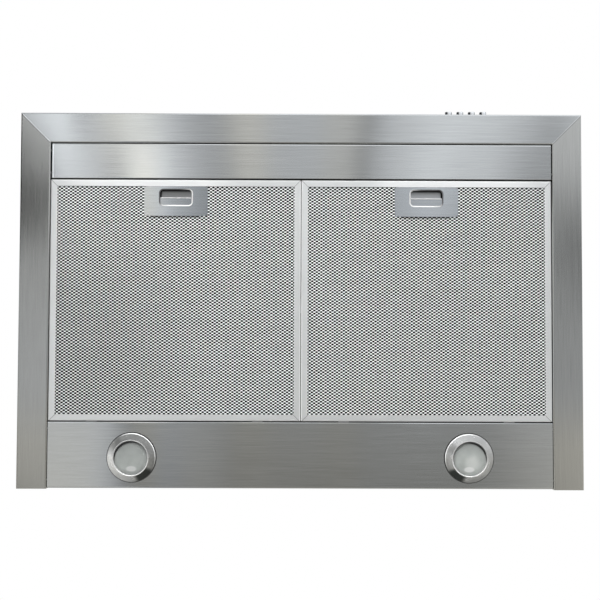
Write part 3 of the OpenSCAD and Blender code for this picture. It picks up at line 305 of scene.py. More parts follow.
def coil(low, high, wire, curls, steps=24, sides=10):
    """A round wire wound on a helix that fills a box, with closed ends.

    The wire's centre runs along Y while it turns about the box's middle, and each ring of points lies
    in the plane of Y and the outward direction."""
    share = np.linspace(0, 1, curls * steps + 1)
    turn, around = 2 * np.pi * curls * share, 2 * np.pi * np.arange(sides) / sides
    radius = (high.x - low.x) / 2 - wire
    out = np.stack([np.cos(turn), 0 * turn, np.sin(turn)], axis=-1)
    middle = np.array([(low.x + high.x) / 2, low.y + wire, (low.z + high.z) / 2])
    centre = middle + radius * out + share[:, None] * np.array([0, high.y - low.y - 2 * wire, 0])
    ring = (np.cos(around)[None, :, None] * out[:, None]
            + np.sin(around)[None, :, None] * np.array([0, 1.0, 0]))
    points = centre[:, None] + wire * ring
    points = np.concatenate([0 * ring[:1] + centre[:1, None], points, 0 * ring[:1] + centre[-1:, None]])
    return welded(points.reshape(-1, 3), ring_quads(len(points), sides))


def expanded_sheet(low, high, pitch, strand, rise, tilt, kept, up):
    """An expanded sheet: staggered six-sided gaps in rhombic cells, each strand with a ridge behind it.

    Cell centres are (i + j / 2) pitches across and j / 2 pitches along. A cell's corners are half a
    pitch from its centre, and its gap's corners are a strand's half width inside them. The flat face
    is tilted by lifting one edge of each gap and sinking the other, and slopes run from the gap's
    edge to the cell's border, one rise behind, where neighbouring slopes meet in the ridge."""
    middle = [(low[0] + high[0]) / 2, low[1] + pitch[1] / 2]
    columns = int((high[0] - low[0]) / pitch[0]) - 1
    rows = int((high[1] - low[1] - pitch[1]) / (pitch[1] / 2))
    row, column = np.meshgrid(np.arange(rows + 1), np.arange(columns + 1), indexing="ij")
    x = middle[0] + (column - columns / 2 + (row % 2 - 0.5) / 2) * pitch[0]
    y = middle[1] + row * pitch[1] / 2
    keep = kept(x, y)
    centre = np.stack([x[keep], y[keep], np.zeros(keep.sum())], axis=-1)

    half_x, half_y = pitch[0] / 2, pitch[1] / 2
    gap_x, gap_y, shoulder = half_x - strand[0], half_y - strand[1], 0.38 * (half_x - strand[0])
    outer = [(half_x, 0), (0, half_y), (-half_x, 0), (0, -half_y)]
    gap = [(gap_x, 0), (shoulder, gap_y), (-shoulder, gap_y), (-gap_x, 0), (-shoulder, -gap_y),
           (shoulder, -gap_y)]
    cell = np.array([(a, b, 0) for a, b in outer] + [(a, b, tilt * np.sign(b)) for a, b in gap]
                    + [(a, b, rise) for a, b in outer])
    vertices = (centre[:, None] + cell[None]).reshape(-1, 3)

    step = len(cell) * np.arange(len(centre))[:, None]
    face = np.array([(4, 5, 1, 0), (2, 1, 6, 7), (8, 3, 2, 7), (4, 0, 3, 9)])
    slope = np.array([(5, 4, 10, 11), (6, 11, 12, 7), (7, 12, 13, 8), (9, 13, 10, 4)])
    point = np.array([(5, 6, 1), (8, 9, 3), (6, 5, 11), (9, 8, 13)])
    quads = (step[:, None] + np.vstack([face, slope])[None]).reshape(-1, 4)
    tris = (step[:, None] + point[None]).reshape(-1, 3)

    border = np.array([(0, 1), (1, 2), (2, 3), (3, 0)])
    edges = (step[:, None] + border[None]).reshape(-1, 2)
    ends = np.round(vertices[edges] / 1e-7).astype(np.int64)
    keys = np.sort(ends[:, :, 0] * 10**9 + ends[:, :, 1], axis=1)
    _, which, count = np.unique(keys, axis=0, return_inverse=True, return_counts=True)
    lone = edges[count[which.ravel()] == 1]
    behind = len(cell) - len(outer)
    walls = np.stack([lone[:, 0], lone[:, 1], lone[:, 1] + behind, lone[:, 0] + behind], axis=-1)
    quads = np.vstack([quads, walls])

    vertices[:, 2] = high[2] - vertices[:, 2] if up else low[2] + vertices[:, 2]
    if up:
        quads, tris = quads[:, ::-1], tris[:, ::-1]
    return welded(vertices, quads, tris)


# Finishes


def brushed_steel(name, along, colour, welds=False, pocket=None, seams=False, edged=None):
    """Brushed sheet steel: fine scratches along one axis, soft streaks and faint hand marks.

    Welds are the canopy's polished mitres. Seams are the lamp panel's joints, with painted shadow round each
    lamp and along its front edge. Edged is a panel's box, with painted highlights on its folds, painted
    shadow at its left and rear edges and a painted paler reflection on its left part. Pocket is a handle
    plate's box, above whose sheet the steel is matt with painted shade, darkest with painted shadow along the
    window's front and outer edges."""
    steel = Finish(name, colour, 0.2, 1.0, Anisotropic=0.96)
    x, y, z = steel.axes()
    fine = steel.noise(steel.stretched([22.0 if axis == along else 1700.0 for axis in "XYZ"]))
    soft = steel.noise(steel.stretched([9.0 if axis == along else 520.0 for axis in "XYZ"]), detail=3.0)
    marks = steel.noise(steel.place, scale=7.0, detail=3.0, rough=0.6)
    shade = steel.mix(0.35 * soft + 0.65 * fine, toned(colour, 0.78), toned(colour, 1.22))
    rough = 0.11 + 0.04 * soft + 0.05 * fine + 0.04 * steel.smooth(marks, 0.45, 0.75)
    if welds:
        off_mitre = HALF_WIDTH - abs(x) - (y - FRONT_Y)
        weld = steel.fall(abs(off_mitre), 0.15 * MM, 0.6 * MM)
        beside = steel.fall(abs(off_mitre + 1.3 * MM), 0.2 * MM, 0.9 * MM)
        shade = steel.mix(0.5 * beside, shade, grey(0.12))
        shade = steel.mix(weld, shade, grey(0.9))
        rough = rough - 0.1 * weld
    if seams:
        # Painted shadow: a dark ring round each bezel and a dark band along the panel's front edge.
        radius = steel.length(*steel.from_lamp())
        joint = steel.fall(radius, LAMP_RADIUS + 0.5 * MM, LAMP_RADIUS + 1.4 * MM)
        front = steel.fall(y, PANEL_FRONT + 0.3 * MM, PANEL_FRONT + 0.8 * MM)
        shade = steel.mix(0.75 * joint, shade, grey(0.03))
        shade = steel.mix(front, shade, grey(0.02))
    if edged is not None:
        low, high = edged
        # Painted highlights on the left and front folds, and painted shadow at the left and rear edges.
        left_fold_highlight = steel.fall(abs(x - low.x - 2.6 * MM), 0.3 * MM, 1.0 * MM)
        front_fold_highlight = steel.fall(y, low.y + 0.3 * MM, low.y + 1.2 * MM)
        left_edge_painted_shadow = steel.fall(x, low.x + 0.9 * MM, low.x + 1.6 * MM)
        rear_edge_painted_shadow = steel.smooth(y, high.y - 1.4 * MM, high.y - 0.8 * MM)
        # A painted paler reflection on the panel's left part.
        shade = steel.mix(0.12 * steel.fall(x, -0.15, -0.02), shade, WHITE)
        shade = steel.mix(0.8 * left_fold_highlight + 0.7 * front_fold_highlight, shade, WHITE)
        shade = steel.mix(left_edge_painted_shadow + rear_edge_painted_shadow, shade, grey(0.004))
    if pocket is not None:
        low, high = pocket
        # Painted shade inside the pocket, and painted shadow darkest at the window's front and outer edges.
        inside = steel.smooth(z, low.z + 0.85 * MM, low.z + 1.2 * MM)
        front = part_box("filter_frame_left")[0].y + WINDOW_Y - WINDOW[1] / 2
        outside = WINDOW[0] / 2 - (low.x + high.x) / 2
        pocket_shadow = (steel.fall(y, front - 0.4 * MM, front + 3.2 * MM)
                + steel.smooth(abs(x), outside - 1.9 * MM, outside - 0.5 * MM))
        pocket_shade = steel.mix(steel.smooth(x, -0.05, 0.05), (0.42, 0.42, 0.425), (0.6, 0.6, 0.61))
        shade = steel.mix(inside, shade, steel.mix(pocket_shadow, pocket_shade, grey(0.01)))
        rough = rough + 0.25 * inside
    steel.feed({"Base Color": shade, "Roughness": rough, "Tangent": steel.tangent(along)})
    steel.bump(fine, 0.015 * MM)
    return steel.material


def plain_metal(name, colour, roughness, spread=0.1, metallic=1.0):
    """Satin or mill-finished metal: an even fine grain with small changes of colour and gloss."""
    metal = Finish(name, colour, roughness, metallic)
    cloud = metal.noise(metal.place, scale=14.0, detail=3.0, rough=0.6)
    metal.feed({"Base Color": metal.mix(cloud, toned(colour, 1 - spread), toned(colour, 1 + spread)),
                "Roughness": roughness - 0.08 + 0.16 * cloud})
    metal.bump(metal.noise(metal.place, scale=900.0), 0.01 * MM)
    return metal.material


def turned_steel():
    """Steel of the bezels, turned in circles about each lamp, with its reflections painted into its colour as
    fans.

    The grain follows the distance from the lamp's axis. A painted fan's angle is 0 away from the hood's
    middle and
    90 degrees towards the wall: the pale painted reflection lies at 40 and the darkest at 127."""
    steel = Finish("bezel_turned_steel", (0.62, 0.62, 0.61), 0.22, 0.35, Anisotropic=0.6,
                   Anisotropic_Rotation=0.25)
    x, _, z = steel.axes()
    out, back = steel.from_lamp()
    radius = steel.length(out, back)
    share = 1 / radius
    turn = steel.maths("ARCTAN2", back, out)
    grain = steel.noise(steel.node("ShaderNodeCombineXYZ", {}, {0: 2600.0 * (radius - z), 1: 1.6 * turn}))

    def fan(degrees, close, far):
        """1 near a direction and 0 far from it; close and far are cosines of the angle from it."""
        angle = math.radians(degrees)
        return steel.smooth(share * (math.cos(angle) * out + math.sin(angle) * back), far, close)

    on_right = steel.smooth(x, -0.1, 0.1)
    shade = steel.mix(steel.smooth(grain, 0.3, 0.7), (0.3, 0.3, 0.295), (0.5, 0.5, 0.49))
    # Painted reflections and shade: a pale fan at 40 degrees, painted shade at the front and towards the
    # hood's middle, a pale fan outwards on the right lamp and the darkest fan at 127.
    shade = steel.mix((0.75 - 0.55 * on_right) * fan(40, 0.93, 0.3), shade, (0.84, 0.84, 0.83))
    front_painted_shade = steel.mix(on_right, (0.1, 0.102, 0.1), (0.33, 0.335, 0.335))
    shade = steel.mix(0.85 * fan(-90, 0.9, 0.0), shade, front_painted_shade)
    shade = steel.mix((0.6 - 0.25 * on_right) * fan(180, 0.97, 0.55), shade, (0.15, 0.15, 0.145))
    shade = steel.mix(0.2 * on_right * fan(0, 0.97, 0.4), shade, (0.9, 0.9, 0.89))
    shade = steel.mix(0.95 * fan(127, 0.97, 0.89), shade, (0.015, 0.02, 0.017))
    # A painted highlight round the outer edge at the front, a painted shadow as a dark outline at the very
    # edge, and a painted highlight on the rolled rim towards the wall.
    edge = steel.smooth(radius, LAMP_RADIUS - 1.5 * MM, LAMP_RADIUS - 1.0 * MM)
    shade = steel.mix(edge * fan(-130, 0.95, 0.2), shade, WHITE)
    side = steel.smooth(radius, LAMP_RADIUS - 0.5 * MM, LAMP_RADIUS - 0.2 * MM)
    shade = steel.mix(side, shade, grey(0.03))
    rim = steel.mix(fan(90, 0.8, -0.5), grey(0.42), (0.82, 0.82, 0.81))
    shade = steel.mix(steel.fall(z, LAMP[0].z + 0.25 * MM, LAMP[0].z + 0.6 * MM), shade, rim)
    steel.feed({"Base Color": shade, "Roughness": 0.2 + 0.12 * grain, "Tangent": steel.tangent("Z")})
    steel.bump(grain, 0.02 * MM)
    return steel.material


def folded_aluminium(colour):
    """Aluminium strip of the filter frames, with a fine dark joint along each corner's mitre.

    The joint lies where the distances from the two outer edges are equal. The strip has painted highlights
    along the joint between the two filters and beside the lamp panel, and painted light over the middle of
    each filter's front."""
    strip = Finish("filter_frame_aluminium", colour, 0.34, 0.6)
    low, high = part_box("filter_frame_right")
    x, y, _ = strip.axes()
    from_side = (high.x - low.x) / 2 - abs(abs(x) - (low.x + high.x) / 2)
    from_end = strip.maths("MINIMUM", y - low.y, PANEL_FRONT - y)
    joint = strip.fall(abs(from_side - from_end), 0.25 * MM, 0.65 * MM)
    # Painted light over each filter's front, and painted highlights along the inner and rear edges.
    painted_light = strip.smooth(abs(x), 0.08, 0.13) * strip.fall(abs(x), 0.27, 0.33) * strip.fall(y, -0.3, -0.25)
    edge = (strip.fall(abs(x), 1.0 * MM, 2.2 * MM)
            + strip.smooth(y, PANEL_FRONT - 2.4 * MM, PANEL_FRONT - 1.2 * MM))
    cloud = strip.noise(strip.stretched([40.0, 40.0, 400.0]), detail=3.0)
    shade = strip.mix(cloud, toned(colour, 0.94), toned(colour, 1.04))
    shade = strip.mix(0.5 * painted_light + 0.8 * edge, shade, WHITE)
    strip.feed({"Base Color": strip.mix(0.8 * joint, shade, grey(0.2)), "Roughness": 0.28 + 0.12 * cloud})
    strip.bump(strip.noise(strip.place, scale=1500.0) - joint, 0.02 * MM)
    return strip.material


def expanded_aluminium(name, start, pitch):
    """Expanded mesh aluminium: flats where four strands meet, with painted highlights, and greyer strands
    between.

    The flats lie where -cos(2 pi x / pitch) * cos(2 pi y / pitch) is 1 and the gaps where it is -1, with
    x and y measured from a gap's centre. The strands have painted shade: darker on the left, and darkest
    round a point near the left filter's rear corner."""
    metal = Finish(name, grey(0.95), 0.36, 0.25)
    x, y, _ = metal.axes()
    # Painted shade round a point near the left filter's rear corner.
    clear_of_painted_shade = metal.smooth(metal.length(x + 0.34, y + 0.17), 0.05, 0.25)

    def wave(place, begin, step):
        return metal.maths("COSINE", (place - begin) * (2 * math.pi / step))

    middle = (start[0] + pitch[0] / 4, start[1] + MESH_EDGE + pitch[1] / 2)
    # Painted highlights on the flats where the strands meet.
    flat = metal.smooth(wave(x, middle[0], pitch[0]) * wave(y, middle[1], pitch[1]), 0.4, -0.55)
    cloud = metal.noise(metal.place, scale=14.0, detail=3.0, rough=0.6)
    # Painted shade: the strands darker on the left.
    strands = metal.mix(metal.smooth(x, -0.05, 0.1), (0.2, 0.21, 0.205), (0.27, 0.28, 0.275))
    strands = metal.mix(clear_of_painted_shade, (0.03, 0.034, 0.034), strands)
    shade = metal.mix((0.86 + 0.14 * clear_of_painted_shade) * flat, strands, (0.95, 0.995, 0.99))
    metal.feed({"Base Color": shade, "Roughness": 0.32 + 0.08 * cloud})
    return metal.material


def galvanised_steel():
    """Zinc-coated sheet: pale and dark crystals a few millimetres across."""
    zinc = Finish("galvanised_sheet", (0.56, 0.58, 0.6), 0.42, 1.0)
    crystal = zinc.node("ShaderNodeTexVoronoi", {}, {"Vector": zinc.place, "Scale": 130.0}, "Color")
    tone = zinc.node("ShaderNodeRGBToBW", {}, {0: crystal})
    cloud = zinc.noise(zinc.place, scale=20.0)
    zinc.feed({"Base Color": zinc.mix(0.7 * tone + 0.3 * cloud, (0.44, 0.46, 0.48), (0.66, 0.68, 0.7)),
               "Roughness": 0.34 + 0.16 * tone})
    return zinc.material


def moulded_plastic(name, colour, roughness):
    """Injection-moulded plastic: a fine spark-eroded grain and slight changes of gloss."""
    plastic = Finish(name, colour, roughness)
    cloud = plastic.noise(plastic.place, scale=30.0)
    plastic.feed({"Base Color": plastic.mix(cloud, toned(colour, 0.88), toned(colour, 1.1)),
                  "Roughness": roughness - 0.06 + 0.12 * cloud})
    plastic.bump(plastic.noise(plastic.place, scale=1400.0, detail=1.0), 0.02 * MM)
    return plastic.material


def rolled_edge(name, middle):
    """Rolled edge of a finger window, with painted light at the rear and towards the hood's middle, and
    painted shade elsewhere.
    """
    metal = Finish(name, grey(0.8), 0.3, 0.3)
    x, y, _ = metal.axes()
    # Painted light at the rear and towards the hood's middle, painted shade at the front and outer sides.
    painted_light = metal.smooth(1.6 * (y - middle[1]) - (abs(x) - abs(middle[0])), -14 * MM, 12 * MM)
    metal.feed({"Base Color": metal.mix(painted_light, (0.09, 0.09, 0.095), grey(0.7))})
    return metal.material


def polished_chrome():
    """Polished chrome plate: a hard mirror with the faintest haze, and a painted dark reflection where it
    faces left.
    """
    bright = (0.9, 0.9, 0.91)
    chrome = Finish("button_chrome", bright, 0.05, 1.0)
    haze = chrome.noise(chrome.place, scale=300.0)
    # A painted dark reflection where the button faces left.
    facing = chrome.parts(chrome.node("ShaderNodeNewGeometry", {}, {}, "Normal"))[0]
    painted_dark_reflection = chrome.fall(facing, -0.8, -0.3)
    chrome.feed({"Roughness": 0.03 + 0.05 * haze,
                 "Base Color": chrome.mix(0.85 * painted_dark_reflection, bright, (0.05, 0.05, 0.055))})
    return chrome.material


def frosted_glass():
    """Frosted lamp glass: scattering face with a fine etched grain.

    Its reflections and shade are painted into its colour: a dark crescent at the front outer edge and a pale
    patch near the wall are painted reflections. They are drawn in steps away from the lamp's axis, in
    millimetres: out and back."""
    glass = Finish("frosted_glass", (0.86, 0.89, 0.9), 0.38, 0.0, Transmission_Weight=0.35, IOR=1.46)
    out, back = glass.from_lamp()
    on_right = glass.smooth(glass.axes()[0], -0.1, 0.1)

    def beyond(right, rear, close, far, flatness=1.0):
        """0 within the close distance of a point and 1 past the far one."""
        distance = glass.length(out - right * MM, flatness * (back - rear * MM))
        return glass.smooth(distance, close * MM, far * MM)

    cloud = glass.noise(glass.place, scale=60.0)
    shade = glass.mix(cloud, (0.36, 0.385, 0.37), (0.66, 0.695, 0.67))
    # Painted shade towards the front and round the rim.
    shade = glass.mix(0.45 * glass.fall(back, -20 * MM, 4 * MM), shade, (0.2, 0.21, 0.21))
    shade = glass.mix(0.5 * beyond(0, 0, 16, 22), shade, (0.3, 0.31, 0.31))
    # A painted pale reflection near the wall, and a painted dark reflection as a crescent at the front outer
    # edge.
    shade = glass.mix(0.65 * (1 - beyond(-1, 14, 5, 8.5, 1.9)), shade, grey(0.95))
    shade = glass.mix(0.97 * beyond(-2.4, 3.8, 23.2, 24.6), shade, grey(0.02))
    # The left lens painted darker, and a painted highlight on the right one.
    shade = glass.mix(0.22 * (1 - on_right), shade, (0.1, 0.105, 0.11))
    shade = glass.mix(0.3 * (1 - beyond(3, 5, 4, 13)) * on_right, shade, (1.0, 1.0, 0.98))
    glass.feed({"Roughness": 0.3 + 0.14 * cloud, "Base Color": shade})
    glass.bump(glass.noise(glass.place, scale=1800.0), 0.015 * MM)
    return glass.material


def dress(node, material, smoothed=False):
    """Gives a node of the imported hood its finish, and smooth shading over its round faces."""
    solid = frame["nodes"][node]
    solid.data.materials.clear()
    solid.data.materials.append(material)
    if smoothed:
        solid.data.polygons.foreach_set("use_smooth", np.ones(len(solid.data.polygons), bool))
        merge = solid.modifiers.new("merge_corners", "WELD")
        merge.merge_threshold = 0.001 * MM
        split = solid.modifiers.new("crisp_edges", "EDGE_SPLIT")
        split.split_angle = math.radians(32)


# Settings that a user would change


def paint(name, description, default):
    return FloatVectorProperty(name=name, description=description, subtype="COLOR", size=3, min=0, max=1,
                               default=default)


def measure(name, description, default):
    return FloatProperty(name=name, description=description, unit="LENGTH", default=default)


class HoodSteel(bpy.types.PropertyGroup):
    colour: paint("Steel", "Colour of the brushed steel", (0.6, 0.605, 0.605))
    aluminium: paint("Aluminium", "Colour of the filters' aluminium", (0.92, 0.93, 0.935))
    handle: paint("Handles", "Colour of the handle plates", (0.48, 0.495, 0.51))


class HoodMesh(bpy.types.PropertyGroup):
    pitch_across: measure("Pitch across", "Distance between gaps along a row", 6.03 * MM)
    pitch_along: measure("Pitch along", "Distance between every second row of gaps", 4.1 * MM)
    bond: measure("Bond", "Half width of the metal between gaps in a row", 0.98 * MM)
    strand: measure("Strand", "Half height of a strand between two rows", 0.67 * MM)


class HoodStage(bpy.types.PropertyGroup):
    eye: FloatVectorProperty(name="Camera", description="Where the camera stands", subtype="XYZ",
                             unit="LENGTH", size=3, default=(-6.6 * MM, -197.6 * MM, -1494.1 * MM))
    aim: FloatVectorProperty(name="Aim", description="The point that the camera looks at", subtype="XYZ",
                             unit="LENGTH", size=3, default=(-1.2 * MM, -250.2 * MM, -170 * MM))
    roll: FloatProperty(name="Roll", description="Turn of the camera about its line of sight",
                        subtype="ANGLE", default=math.radians(0.21))
    lens: FloatProperty(name="Lens", description="Focal length on a 36 mm wide sensor", default=59.82)
    floor: measure("Floor", "Height of the floor", -1.9)
    sky: FloatProperty(name="Sky", description="Strength of the even light", default=0.55)


# Steel of the canopy, the panels and the chimney


class HOOD_OT_steel(bpy.types.Operator):
    """Brush the canopy, panels and chimney covers along their length and polish the mitre welds"""

    bl_idname = "hood.steel"
    bl_label = "Brushed steel"

    def execute(self, context):
        colour = tuple(context.scene.hood_steel.colour)
        front = brushed_steel("steel_front_of_canopy", "X", colour, welds=True)
        # The sides are painted darker, at 0.88 of the steel's colour, as painted shade, with a warm tint.
        painted_shade_warmer = [0.88 * part * warmth for part, warmth in zip(colour, (1.02, 1.0, 0.965))]
        sides = brushed_steel("steel_sides_of_canopy", "Y", painted_shade_warmer, welds=True)
        upright = brushed_steel("steel_chimney", "Z", colour)
        pierced = brushed_steel("steel_lamp_panel", "X", colour, seams=True)
        ended = brushed_steel("steel_infill_panel", "X", colour, edged=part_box("front_infill_panel"))
        for node, steel in (("canopy_front", front), ("canopy_left_side", sides),
                            ("canopy_right_side", sides), ("front_infill_panel", ended),
                            ("lamp_panel", pierced), ("lower_chimney_cover", upright),
                            ("upper_chimney_cover", upright)):
            dress(node, steel)
        return {"FINISHED"}


class HOOD_OT_works(bpy.types.Operator):
    """Finish the blower, wiring, damper, brackets and fasteners inside the hood"""

    bl_idname = "hood.works"
    bl_label = "Inner works"

    def execute(self, context):
        zinc = galvanised_steel()
        black = moulded_plastic("black_moulding", (0.028, 0.028, 0.03), 0.45)
        white = moulded_plastic("white_moulding", (0.74, 0.74, 0.71), 0.4)
        rivet = plain_metal("rivet_aluminium", (0.74, 0.75, 0.76), 0.34)
        bright = plain_metal("bright_steel", (0.72, 0.72, 0.73), 0.16)
        groups = (
            (zinc, False, ("back_plate", "top_plate", "switch_bracket", "blower_box", "upper_wall_bracket")),
            (zinc, True, ("capacitor_clip", "impeller", "motor", "motor_bracket", "damper_flap_left",
                          "damper_flap_right")),
            (black, True, ("switch_block", "junction_box", "junction_box_cover", "cable_grommet",
                           "scroll_left", "scroll_right", "outlet_collar")),
            (white, True, ("terminal_block", "capacitor", "lamp_holder_left", "lamp_holder_right")),
            (rivet, True, ("panel_rivets",)),
            (bright, True, ("assembly_screws", "bracket_screws", "motor_shaft", "damper_pin")),
        )
        for material, smoothed, nodes in groups:
            for node in nodes:
                dress(node, material, smoothed)
        return {"FINISHED"}


# Grease filters


class HOOD_OT_filters(bpy.types.Operator):
    """Stretch the expanded mesh over both faces of each filter and finish its frame and core"""

    bl_idname = "hood.filters"
    bl_label = "Grease filters"

    def execute(self, context):
        settings = context.scene.hood_mesh
        colour = tuple(context.scene.hood_steel.aluminium)
        frame_finish = folded_aluminium(toned(colour, 0.76))
        # The core is painted near black: painted shade, so that the gaps in the mesh look shadowed.
        shadowed_core_finish = plain_metal("filter_core_aluminium", toned(colour, 0.02), 0.6)
        pitch = (settings.pitch_across, settings.pitch_along)
        strand = (settings.bond, settings.strand)
        tilt = 0.25 * MM
        edge = Vector((MESH_EDGE, MESH_EDGE, 0))
        for side in SIDES:
            low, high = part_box(f"filter_front_mesh_{side}")
            start = ((low.x + high.x) / 2, low.y)
            mesh_finish = expanded_aluminium(f"filter_mesh_aluminium_{side}", start, pitch)
            dress(f"filter_frame_{side}", frame_finish)
            dress(f"filter_core_{side}", shadowed_core_finish)
            for face in ("front", "back"):
                node = f"filter_{face}_mesh_{side}"
                low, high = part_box(node)
                keep = self.clear_of_pocket(side) if face == "front" else self.everywhere
                sheet = expanded_sheet(low + edge, high - edge, pitch, strand, high.z - low.z, tilt,
                                       keep, face == "back")
                new_piece(f"expanded_mesh_{face}_{side}", sheet, mesh_finish,
                          f"filter_{side}", [node], smooth=False)
        return {"FINISHED"}

    @staticmethod
    def everywhere(x, y):
        return np.ones(x.shape, bool)

    @staticmethod
    def clear_of_pocket(side):
        """Which cells lie off the handle's pocket, measured from the plate's box."""
        low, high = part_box(f"handle_plate_{side}")
        beside, behind = 8.6 * MM, 1.3 * MM

        def kept(x, y):
            return (x < low.x + beside) | (x > high.x - beside) | (y > high.y + behind)

        return kept


class HOOD_OT_handles(bpy.types.Operator):
    """Finish the handle plates and roll the edges of their finger windows and slider grips"""

    bl_idname = "hood.handles"
    bl_label = "Filter handles"

    def execute(self, context):
        colour = tuple(context.scene.hood_steel.handle)
        satin = brushed_steel("handle_satin_grey", "X", colour, pocket=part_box("handle_plate_left"))
        grip = brushed_steel("handle_grip_grey", "X", toned(colour, 0.85))
        # The grip's rounded edge is painted pale grey: a painted highlight.
        bright = plain_metal("handle_grip_edge", grey(0.8), 0.3, metallic=0.3)
        wire_finish = plain_metal("spring_wire", (0.72, 0.72, 0.73), 0.2)
        outline, outwards = round_rectangle(*WINDOW, 4.6 * MM)
        section = MM * np.array([(-0.25, 0.5), (0, 0.1), (0.5, -0.15), (1.0, -0.32), (1.3, -0.36),
                                 (1.5, -0.25), (1.5, 0.3), (0, 0.5)])
        wire, curls = 0.3 * MM, 8
        grip_rise, grip_edge, grip_inset = 0.8 * MM, 0.55 * MM, 0.84 * MM
        half = WINDOW[0] / 2 - grip_inset
        for side in SIDES:
            dress(f"handle_plate_{side}", satin)
            dress(f"latch_slider_{side}", grip)
            low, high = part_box(f"handle_plate_{side}")
            middle = ((low.x + high.x) / 2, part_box(f"filter_frame_{side}")[0].y + WINDOW_Y)
            new_piece(f"window_lip_{side}", lipped(outline, outwards, section, (*middle, low.z)),
                      rolled_edge(f"handle_rolled_edge_{side}", middle),
                      f"filter_{side}")
            round_bar = arc((middle[1] + grip_edge, low.z + grip_rise), grip_edge, 0, 330, 12)
            ends = [np.insert(round_bar, 0, middle[0] + way * half, axis=1) for way in (-1, 1)]
            ends = [ends[0].mean(0) + 0 * ends[0], *ends, ends[1].mean(0) + 0 * ends[1]]
            new_piece(f"grip_edge_{side}", welded(np.vstack(ends), ring_quads(4, len(round_bar))),
                      bright, f"latch_{side}")
            low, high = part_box(f"latch_spring_{side}")
            spring = new_piece(f"coiled_spring_{side}", coil(low, high, wire, curls), wire_finish,
                               f"filter_{side}", [f"latch_spring_{side}"])
            slide = next(joint for joint in frame["joints"] if joint["name"] == f"latch_{side}_slide")
            1 - slide["range_m"][1] / (high.y - low.y)
            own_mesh(spring)
        return {"FINISHED"}


# Lamps and buttons


class HOOD_OT_lamps(bpy.types.Operator):
    """Turn the lamps' bezels and frosted lenses and finish what lies behind them"""

    bl_idname = "hood.lamps"
    bl_label = "Lamps"

    def execute(self, context):
        satin = turned_steel()
        glass = frosted_glass()
        bulb = moulded_plastic("bulb_opal_glass", (0.85, 0.86, 0.86), 0.2)
        mirror = plain_metal("reflector_bright", (0.85, 0.86, 0.87), 0.14, spread=0.03)
        for side in SIDES:
            dress(f"lamp_reflector_{side}", mirror, smoothed=True)
            dress(f"lamp_bulb_{side}", bulb, smoothed=True)
            low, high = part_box(f"lamp_bezel_{side}")
            centre = ((low.x + high.x) / 2, (low.y + high.y) / 2, low.z)
            outer = (high.x - low.x) / 2
            new_piece(f"turned_bezel_{side}", turned(self.bezel(outer, high.z - low.z), centre, closed=True),
                      satin, "hood", [f"lamp_bezel_{side}"])
            low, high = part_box(f"lamp_lens_{side}")
            seat = (high.x - low.x) / 2
            new_piece(f"frosted_lens_{side}", turned(self.lens(seat, high.z - low.z), (*centre[:2], low.z)),
                      glass, "hood", [f"lamp_lens_{side}"])
        return {"FINISHED"}

    @staticmethod
    def bezel(outer, height):
        """Bezel section, heights from its lowest point: upright edge, cone, rolled rim, seat and neck."""
        rim, corner = 0.9 * MM, 0.7 * MM
        mouth, inner, neck = outer - 10 * MM, outer - 7.8 * MM, outer - 5.4 * MM
        seat, panel = 3 * MM, 11 * MM
        edge = arc((outer - corner, panel - 1.5 * MM), corner, 0, -55, 5)
        rolled = arc((mouth + rim, rim), rim, -35, -180, 11)
        return np.vstack([[(outer, panel)], edge, rolled, [(mouth, seat), (inner, seat), (inner, height),
                                                           (neck, height), (neck, panel)]])[::-1]

    @staticmethod
    def lens(seat, height):
        """Lens section, heights from the lowest point of its shallow dome."""
        dome, margin, flat, chamfer = 1.4 * MM, 2.4 * MM, 2.1 * MM, 2 * MM
        share = np.linspace(0, 1, 10)
        bulge = np.stack([(seat - margin) * share, dome * share**2], axis=-1)
        return np.vstack([bulge, [(seat, dome), (seat, dome + flat), (seat - chamfer, height), (0, height)]])


class HOOD_OT_buttons(bpy.types.Operator):
    """Turn the four push buttons with domed caps and a fine groove"""

    bl_idname = "hood.buttons"
    bl_label = "Push buttons"

    def execute(self, context):
        chrome = polished_chrome()
        for name in BUTTONS:
            low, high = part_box(name)
            centre = ((low.x + high.x) / 2, low.y, (low.z + high.z) / 2)
            new_piece(f"turned_{name}", turned(self.section(high.y - low.y), centre, "Y", sides=48),
                      chrome, name, [name])
        return {"FINISHED"}

    @staticmethod
    def section(length):
        """Button section, lengths from the crown: dome, rounded edge, groove, cap, collar and stem."""
        cap, collar, stem = 4.75 * MM, 5.85 * MM, 3.0 * MM
        dome, corner, groove_at, inside, stop = 0.35 * MM, 1.2 * MM, 3.4 * MM, 8.2 * MM, 9.7 * MM
        share = np.linspace(0, 1, 7)
        crown = np.stack([(cap - corner) * share, dome * share**2], axis=-1)
        edge = arc((cap - corner, dome + corner), corner, -90, 0, 7)
        groove = arc((cap, groove_at), 0.35 * MM, -90, -270, 7)
        return np.vstack([crown, edge, groove, [(cap, inside), (collar, inside), (collar, stop),
                                                (stem, stop), (stem, length), (0, length)]])


# Studio


